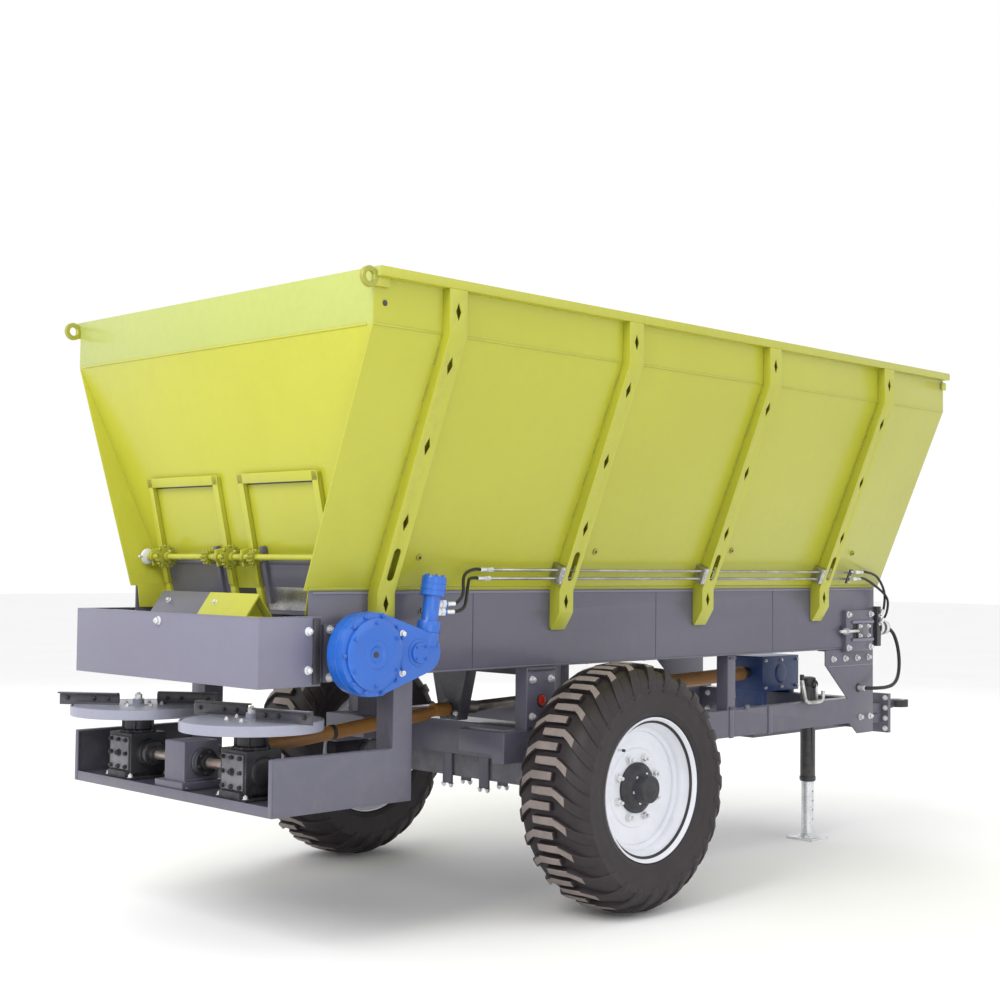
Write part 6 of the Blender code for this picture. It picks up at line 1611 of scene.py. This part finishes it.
# ------------------------------------------------------------------ hydraulics
class SPREADER_OT_hydraulics(bpy.types.Operator):
    """Make the two steel pipes with their clamps and fittings, and the valve block"""
    bl_idname = "spreader.hydraulics"
    bl_label = "Pipes and valve block"

    def execute(self, context):
        pieces = [dressed("side_pipes", "bare_steel", 0.0008)]
        way = Vector((1, 0, 0))
        for y, z in PIPE_ENDS:
            for x, sense in ((1.020, 1), (4.200, -1)):
                start = at(x, y, z)
                profile = [(0.0072, 0.0), (0.0105, 0.0005), (0.0105, 0.014), (0.0088, 0.016),
                        (0.0120, 0.018), (0.0120, 0.036), (0.0098, 0.038), (0.0072, 0.046)]
                pieces.append(turned(f"pipe_end_{x}_{z}", profile, start, way * sense, "zinc_plate", 6))
        for x in RIB_X[1:] + [4.150]:
            self.clamp(pieces, x - 0.068)
        finished("side_pipes", pieces, "steel")
        self.valves()
        return {"FINISHED"}

    def clamp(self, pieces, x):
        """A two-bolt cover plate over the pipes' clamp."""
        way = Vector((0, -math.cos(SIDE_LEAN), -math.sin(SIDE_LEAN)))
        mid = Vector((at(x, 0, 0).x, (PIPE_ENDS[0][0] + PIPE_ENDS[1][0]) / 2,
                (PIPE_ENDS[0][1] + PIPE_ENDS[1][1]) / 2))
        up = Vector((0, PIPE_ENDS[0][0] - PIPE_ENDS[1][0], PIPE_ENDS[0][1] - PIPE_ENDS[1][1])).normalized()
        cover = block(f"clamp_cover_{x}", (-0.017, -0.045, -0.002), (0.017, 0.045, 0.004), "cast_iron",
                0.0018)
        turn = Matrix((Vector((1, 0, 0)), up, way)).transposed().to_4x4()
        cover.data.transform(Matrix.Translation(mid + way * 0.0122) @ turn)
        pieces.append(cover)
        pieces.append(bolts(f"clamp_bolts_{x}",
                [(mid + way * 0.0160 + up * s, way) for s in (-0.034, 0.0, 0.034)], 0.011, "zinc_plate",
                False))

    def valves(self):
        """The valve block with its spool, port fittings and end screws."""
        pieces = [dressed("valve_block", "dark_paint", 0.003)]
        spool = at(4.560, -0.648, 1.262)
        pieces.append(turned("spool_skin",
                [(0.030, 0.0), (0.046, 0.001), (0.0465, 0.006), (0.0465, 0.030), (0.0440, 0.033),
                (0.0440, 0.062), (0.0465, 0.065), (0.0465, 0.092), (0.0440, 0.096), (0.0300, 0.0965)],
                spool, (1, 0, 0), "zinc_plate", 40))
        for z in (1.180, 1.330):
            pieces.append(rod(f"valve_screw_{z}", at(4.553, -0.605, z), at(4.566, -0.605, z), 0.014,
                    "zinc_plate", 6, 0.001))
        spots = [(at(4.555, y, z), (1, 0, 0)) for y in (-0.675, -0.572) for z in (1.165, 1.382)]
        pieces.append(bolts("valve_bolts", spots, 0.014))
        for port, drop in ((1.330, 0.0), (1.300, 0.02)):
            pieces.append(rod(f"valve_port_{port}", at(4.536, -0.6875, port - drop + 0.009),
                    at(4.536, -0.6925, port - drop + 0.009), 0.0125, "zinc_plate", 6, 0.001))
        finished("valve_block", pieces, "dark_paint")


# ------------------------------------------------------------------ wheels
class SPREADER_OT_wheels(bpy.types.Operator):
    """Make the tyres with their lugs, the dished rims and the hubs"""
    bl_idname = "spreader.wheels"
    bl_label = "Wheels"

    def execute(self, context):
        sizes = context.scene.spreader_sizes
        for side, sign in (("right", -1), ("left", 1)):
            centre = WHEEL[side].copy()
            self.tyre(side, centre, sizes)
            self.rim(side, sign, centre, sizes)
            self.hub(side, sign, centre)
        return {"FINISHED"}

    def tyre(self, side, centre, sizes):
        """A spun casing and two staggered rows of lugs running over the shoulders."""
        half = [(0.309, 0.150), (0.318, 0.158), (0.337, 0.162), (0.344, 0.176), (0.352, 0.182),
                (0.362, 0.184), (0.368, 0.188), (0.374, 0.187), (0.400, 0.193), (0.440, 0.198),
                (0.466, 0.1995), (0.470, 0.2025), (0.476, 0.2025), (0.480, 0.1995), (0.505, 0.190),
                (0.522, 0.176), (0.537, 0.156), (0.549, 0.126), (0.5565, 0.085), (0.559, 0.0)]
        profile = half + [(r, -y) for r, y in reversed(half[:-1])]
        casing = turned(f"tyre_casing_{side}", profile, centre, (0, 1, 0), "tyre_rubber", 108)
        model = self.lug(sizes)
        pieces = [casing]
        step = 2 * math.pi / sizes.lugs
        for k in range(sizes.lugs):
            for row in (1, -1):
                turn = Matrix.Rotation(step * (k + (0.5 if row < 0 else 0.0)), 4, "Y")
                flip = Matrix.Diagonal((1, row, 1, 1))
                pieces.append(copied(model, f"lug_{side}_{k}_{row}",
                        Matrix.Translation(centre) @ turn @ flip))
        bpy.data.objects.remove(model)
        tyre = joined(f"tyre_{side}_finished", pieces)
        edit(tyre)
        bpy.ops.mesh.normals_make_consistent(inside=False)
        leave()
        fitted(tyre, f"wheel_{side}", "tyre", f"tyre_{side}")

    def lug(self, sizes):
        """One lug, drawn from the tread's middle over the shoulder and down the sidewall."""
        top = 0.559 + sizes.lug_height
        # across the tyre, lean round the wheel, outer radius, inner radius, half width
        stations = [(-0.058, 0.000, top - 0.002, 0.552, 0.0175), (0.000, 0.000, top, 0.552, 0.0185),
                (0.068, 0.000, top - 0.002, 0.550, 0.0190), (0.098, 0.030, top - 0.008, 0.545, 0.0210),
                (0.130, 0.072, 0.570, 0.530, 0.0240), (0.162, 0.118, 0.551, 0.512, 0.0262),
                (0.187, 0.158, 0.524, 0.490, 0.0270), (0.2048, 0.200, 0.486, 0.462, 0.0250),
                (0.2025, 0.228, 0.452, 0.446, 0.0150)]
        rest_all()
        bpy.ops.mesh.primitive_plane_add(size=1.0)
        obj = settle("lug")
        edit(obj)
        work = bmesh.from_edit_mesh(obj.data)

        def ring(y, lean, outer, inner, half):
            deep = max(0.0, y - 0.120)
            places = []
            for r, w, dy in ((outer, -half, 0.0), (outer, half, 0.0), (inner, half * 1.12, -deep * 0.5),
                    (inner, -half * 1.12, -deep * 0.5)):
                a = lean + w / r
                places.append(Vector((-r * math.sin(a), y + dy, r * math.cos(a))))
            return places

        for vert, place in zip(list(work.faces)[0].verts, ring(*stations[0])):
            vert.co = place
        bmesh.update_edit_mesh(obj.data)
        for station in stations[1:]:
            bpy.ops.mesh.extrude_region_move(TRANSFORM_OT_translate={"value": (0, 0.01, 0)})
            work = bmesh.from_edit_mesh(obj.data)
            face = [f for f in work.faces if f.select][0]
            places = ring(*station)
            start = min(range(4), key=lambda k: sum((face.verts[(k + j) % 4].co - places[j]).length
                    for j in range(4)))
            order = [face.verts[(start + j) % 4] for j in range(4)]
            if sum((v.co - p).length for v, p in zip(order,
                    places)) > sum((face.verts[(start - j) % 4].co - places[j]).length for j in range(4)):
                order = [face.verts[(start - j) % 4] for j in range(4)]
            for vert, place in zip(order, places):
                vert.co = place
            bmesh.update_edit_mesh(obj.data)
        bpy.ops.mesh.select_all(action="SELECT")
        bpy.ops.mesh.remove_doubles(threshold=0.00002)
        bpy.ops.mesh.normals_make_consistent(inside=False)
        leave()
        soften(obj, 0.0035, 1, 50.0)
        coat(obj, "tyre_rubber")
        coat_faces(obj, "lug_top", lambda mid,
                normal: mid.xz.length > top - 0.017
                and Vector((mid.x, 0, mid.z)).normalized().dot(normal) > 0.75)
        return obj

    def rim(self, side, sign, centre, sizes):
        """A dished rim with its flanges, bolt ring and valve."""
        face = [(0.3345, 0.164), (0.3385, 0.170), (0.3375, 0.1755), (0.3320, 0.1770), (0.3270, 0.172),
                (0.3220, 0.160), (0.3140, 0.150), (0.3090, 0.132), (0.2980, 0.120), (0.2900, 0.104),
                (0.2860, 0.092), (0.2760, 0.0855), (0.2680, 0.0845), (0.2640, 0.0745), (0.2360, 0.0740),
                (0.2280, 0.0700), (0.1900, 0.0680), (0.1830, 0.0740), (0.1080, 0.0740)]
        back = [(0.1080, 0.0640), (0.1800, 0.0640), (0.1880, 0.0590), (0.2280, 0.0600), (0.2560, 0.0640),
                (0.2760, 0.0200), (0.2880, 0.0), (0.2950, -0.0500), (0.3000, -0.1300), (0.3110, -0.1520),
                (0.3250, -0.1680), (0.3310, -0.1760), (0.3370, -0.1755), (0.3385, -0.1700),
                (0.3345, -0.1640)]
        out = [(0.3290, -0.158), (0.3130, -0.148), (0.3095, -0.120), (0.3050, -0.080), (0.3050, 0.080),
                (0.3095, 0.120), (0.3130, 0.148), (0.3290, 0.158)]
        pieces = [turned(f"rim_dish_{side}", face + back + out + face[:1], centre, (0, sign, 0),
                "white_paint", 96)]
        way = Vector((0, sign, 0))
        valve = centre + Vector((0.232 * math.cos(2.2), sign * 0.0735, 0.232 * math.sin(2.2)))
        pieces.append(rod(f"valve_{side}", valve, valve + way * 0.034, 0.006, "zinc_plate", 16, 0.001))
        pieces.append(rod(f"valve_cap_{side}", valve + way * 0.032, valve + way * 0.044, 0.0072,
                "black_plastic", 16, 0.001))
        spots = []
        for k in range(8):
            a = math.radians(22.5 + 45 * k)
            spot = centre + Vector((sizes.stud_circle * math.cos(a), sign * 0.0740,
                    sizes.stud_circle * math.sin(a)))
            spots.append((spot, way))
            pieces.append(rod(f"stud_{side}_{k}", spot, spot + way * 0.036, 0.0085, "zinc_plate", 14,
                    0.001))
        pieces.append(bolts(f"stud_nuts_{side}", spots, 0.027))
        finished(f"rim_{side}", pieces, "white_paint", f"wheel_{side}")

    def hub(self, side, sign, centre):
        """The cast hub with its stepped cap."""
        node = f"hub_{side}"
        body = dressed(node, "cast_iron", 0.003)
        profile = [(0.0, 0.1700), (0.030, 0.1700), (0.040, 0.1660), (0.046, 0.1580), (0.050, 0.1250),
                (0.056, 0.1200), (0.080, 0.1160), (0.094, 0.1090), (0.102, 0.0980), (0.112, 0.0900),
                (0.119, 0.0850), (0.119, 0.0740), (0.100, 0.0735)]
        pieces = [body, turned(f"hub_cap_{side}", profile, centre, (0, sign, 0), "cast_iron", 64)]
        for k in range(6):
            a = math.radians(60 * k + 10)
            spot = centre + Vector((0.070 * math.cos(a), sign * 0.1175, 0.070 * math.sin(a)))
            pieces.append(rod(f"hub_screw_{side}_{k}", spot, spot + Vector((0, sign * 0.004, 0)), 0.0075,
                    "zinc_plate", 12, 0.001))
        finished(node, pieces, "dark_paint", f"wheel_{side}")


# ------------------------------------------------------------------ the add-on
class SPREADER_PT_panel(bpy.types.Panel):
    """The spreader's buttons and sizes in the sidebar"""
    bl_idname = "SPREADER_PT_panel"
    bl_label = "Manure spreader"
    bl_space_type = "VIEW_3D"
    bl_region_type = "UI"
    bl_category = "Spreader"

    def draw(self, context):
        for operator in OPERATORS:
            self.layout.operator(operator.bl_idname, text=operator.bl_label)
        for group in (context.scene.spreader_sizes, context.scene.spreader_colours):
            for name in group.bl_rna.properties.keys():
                if name not in ("rna_type", "name"):
                    self.layout.prop(group, name)


OPERATORS = (SPREADER_OT_stage, SPREADER_OT_hoses, SPREADER_OT_hopper, SPREADER_OT_gates,
        SPREADER_OT_trough, SPREADER_OT_conveyor, SPREADER_OT_apron, SPREADER_OT_tray,
        SPREADER_OT_gearboxes, SPREADER_OT_discs, SPREADER_OT_drive, SPREADER_OT_chassis,
        SPREADER_OT_drawbar, SPREADER_OT_driveline, SPREADER_OT_hydraulics, SPREADER_OT_wheels)
CLASSES = (SpreaderSizes, SpreaderColours) + OPERATORS + (SPREADER_PT_panel,)


def register():
    """Register every class and hang the settings on the scene."""
    for made in CLASSES:
        bpy.utils.register_class(made)
    bpy.types.Scene.spreader_sizes = bpy.props.PointerProperty(type=SpreaderSizes)
    bpy.types.Scene.spreader_colours = bpy.props.PointerProperty(type=SpreaderColours)


def unregister():
    """Take the settings and the classes away again."""
    del bpy.types.Scene.spreader_sizes
    del bpy.types.Scene.spreader_colours
    for made in reversed(CLASSES):
        bpy.utils.unregister_class(made)


def main():
    """Register and build every piece in order."""
    register()
    mix_finishes()
    for operator in OPERATORS:
        family, name = operator.bl_idname.split(".")
        if getattr(getattr(bpy.ops, family), name)() != {"FINISHED"}:
            raise RuntimeError(operator.bl_label)


if __name__ == "__main__":
    main()
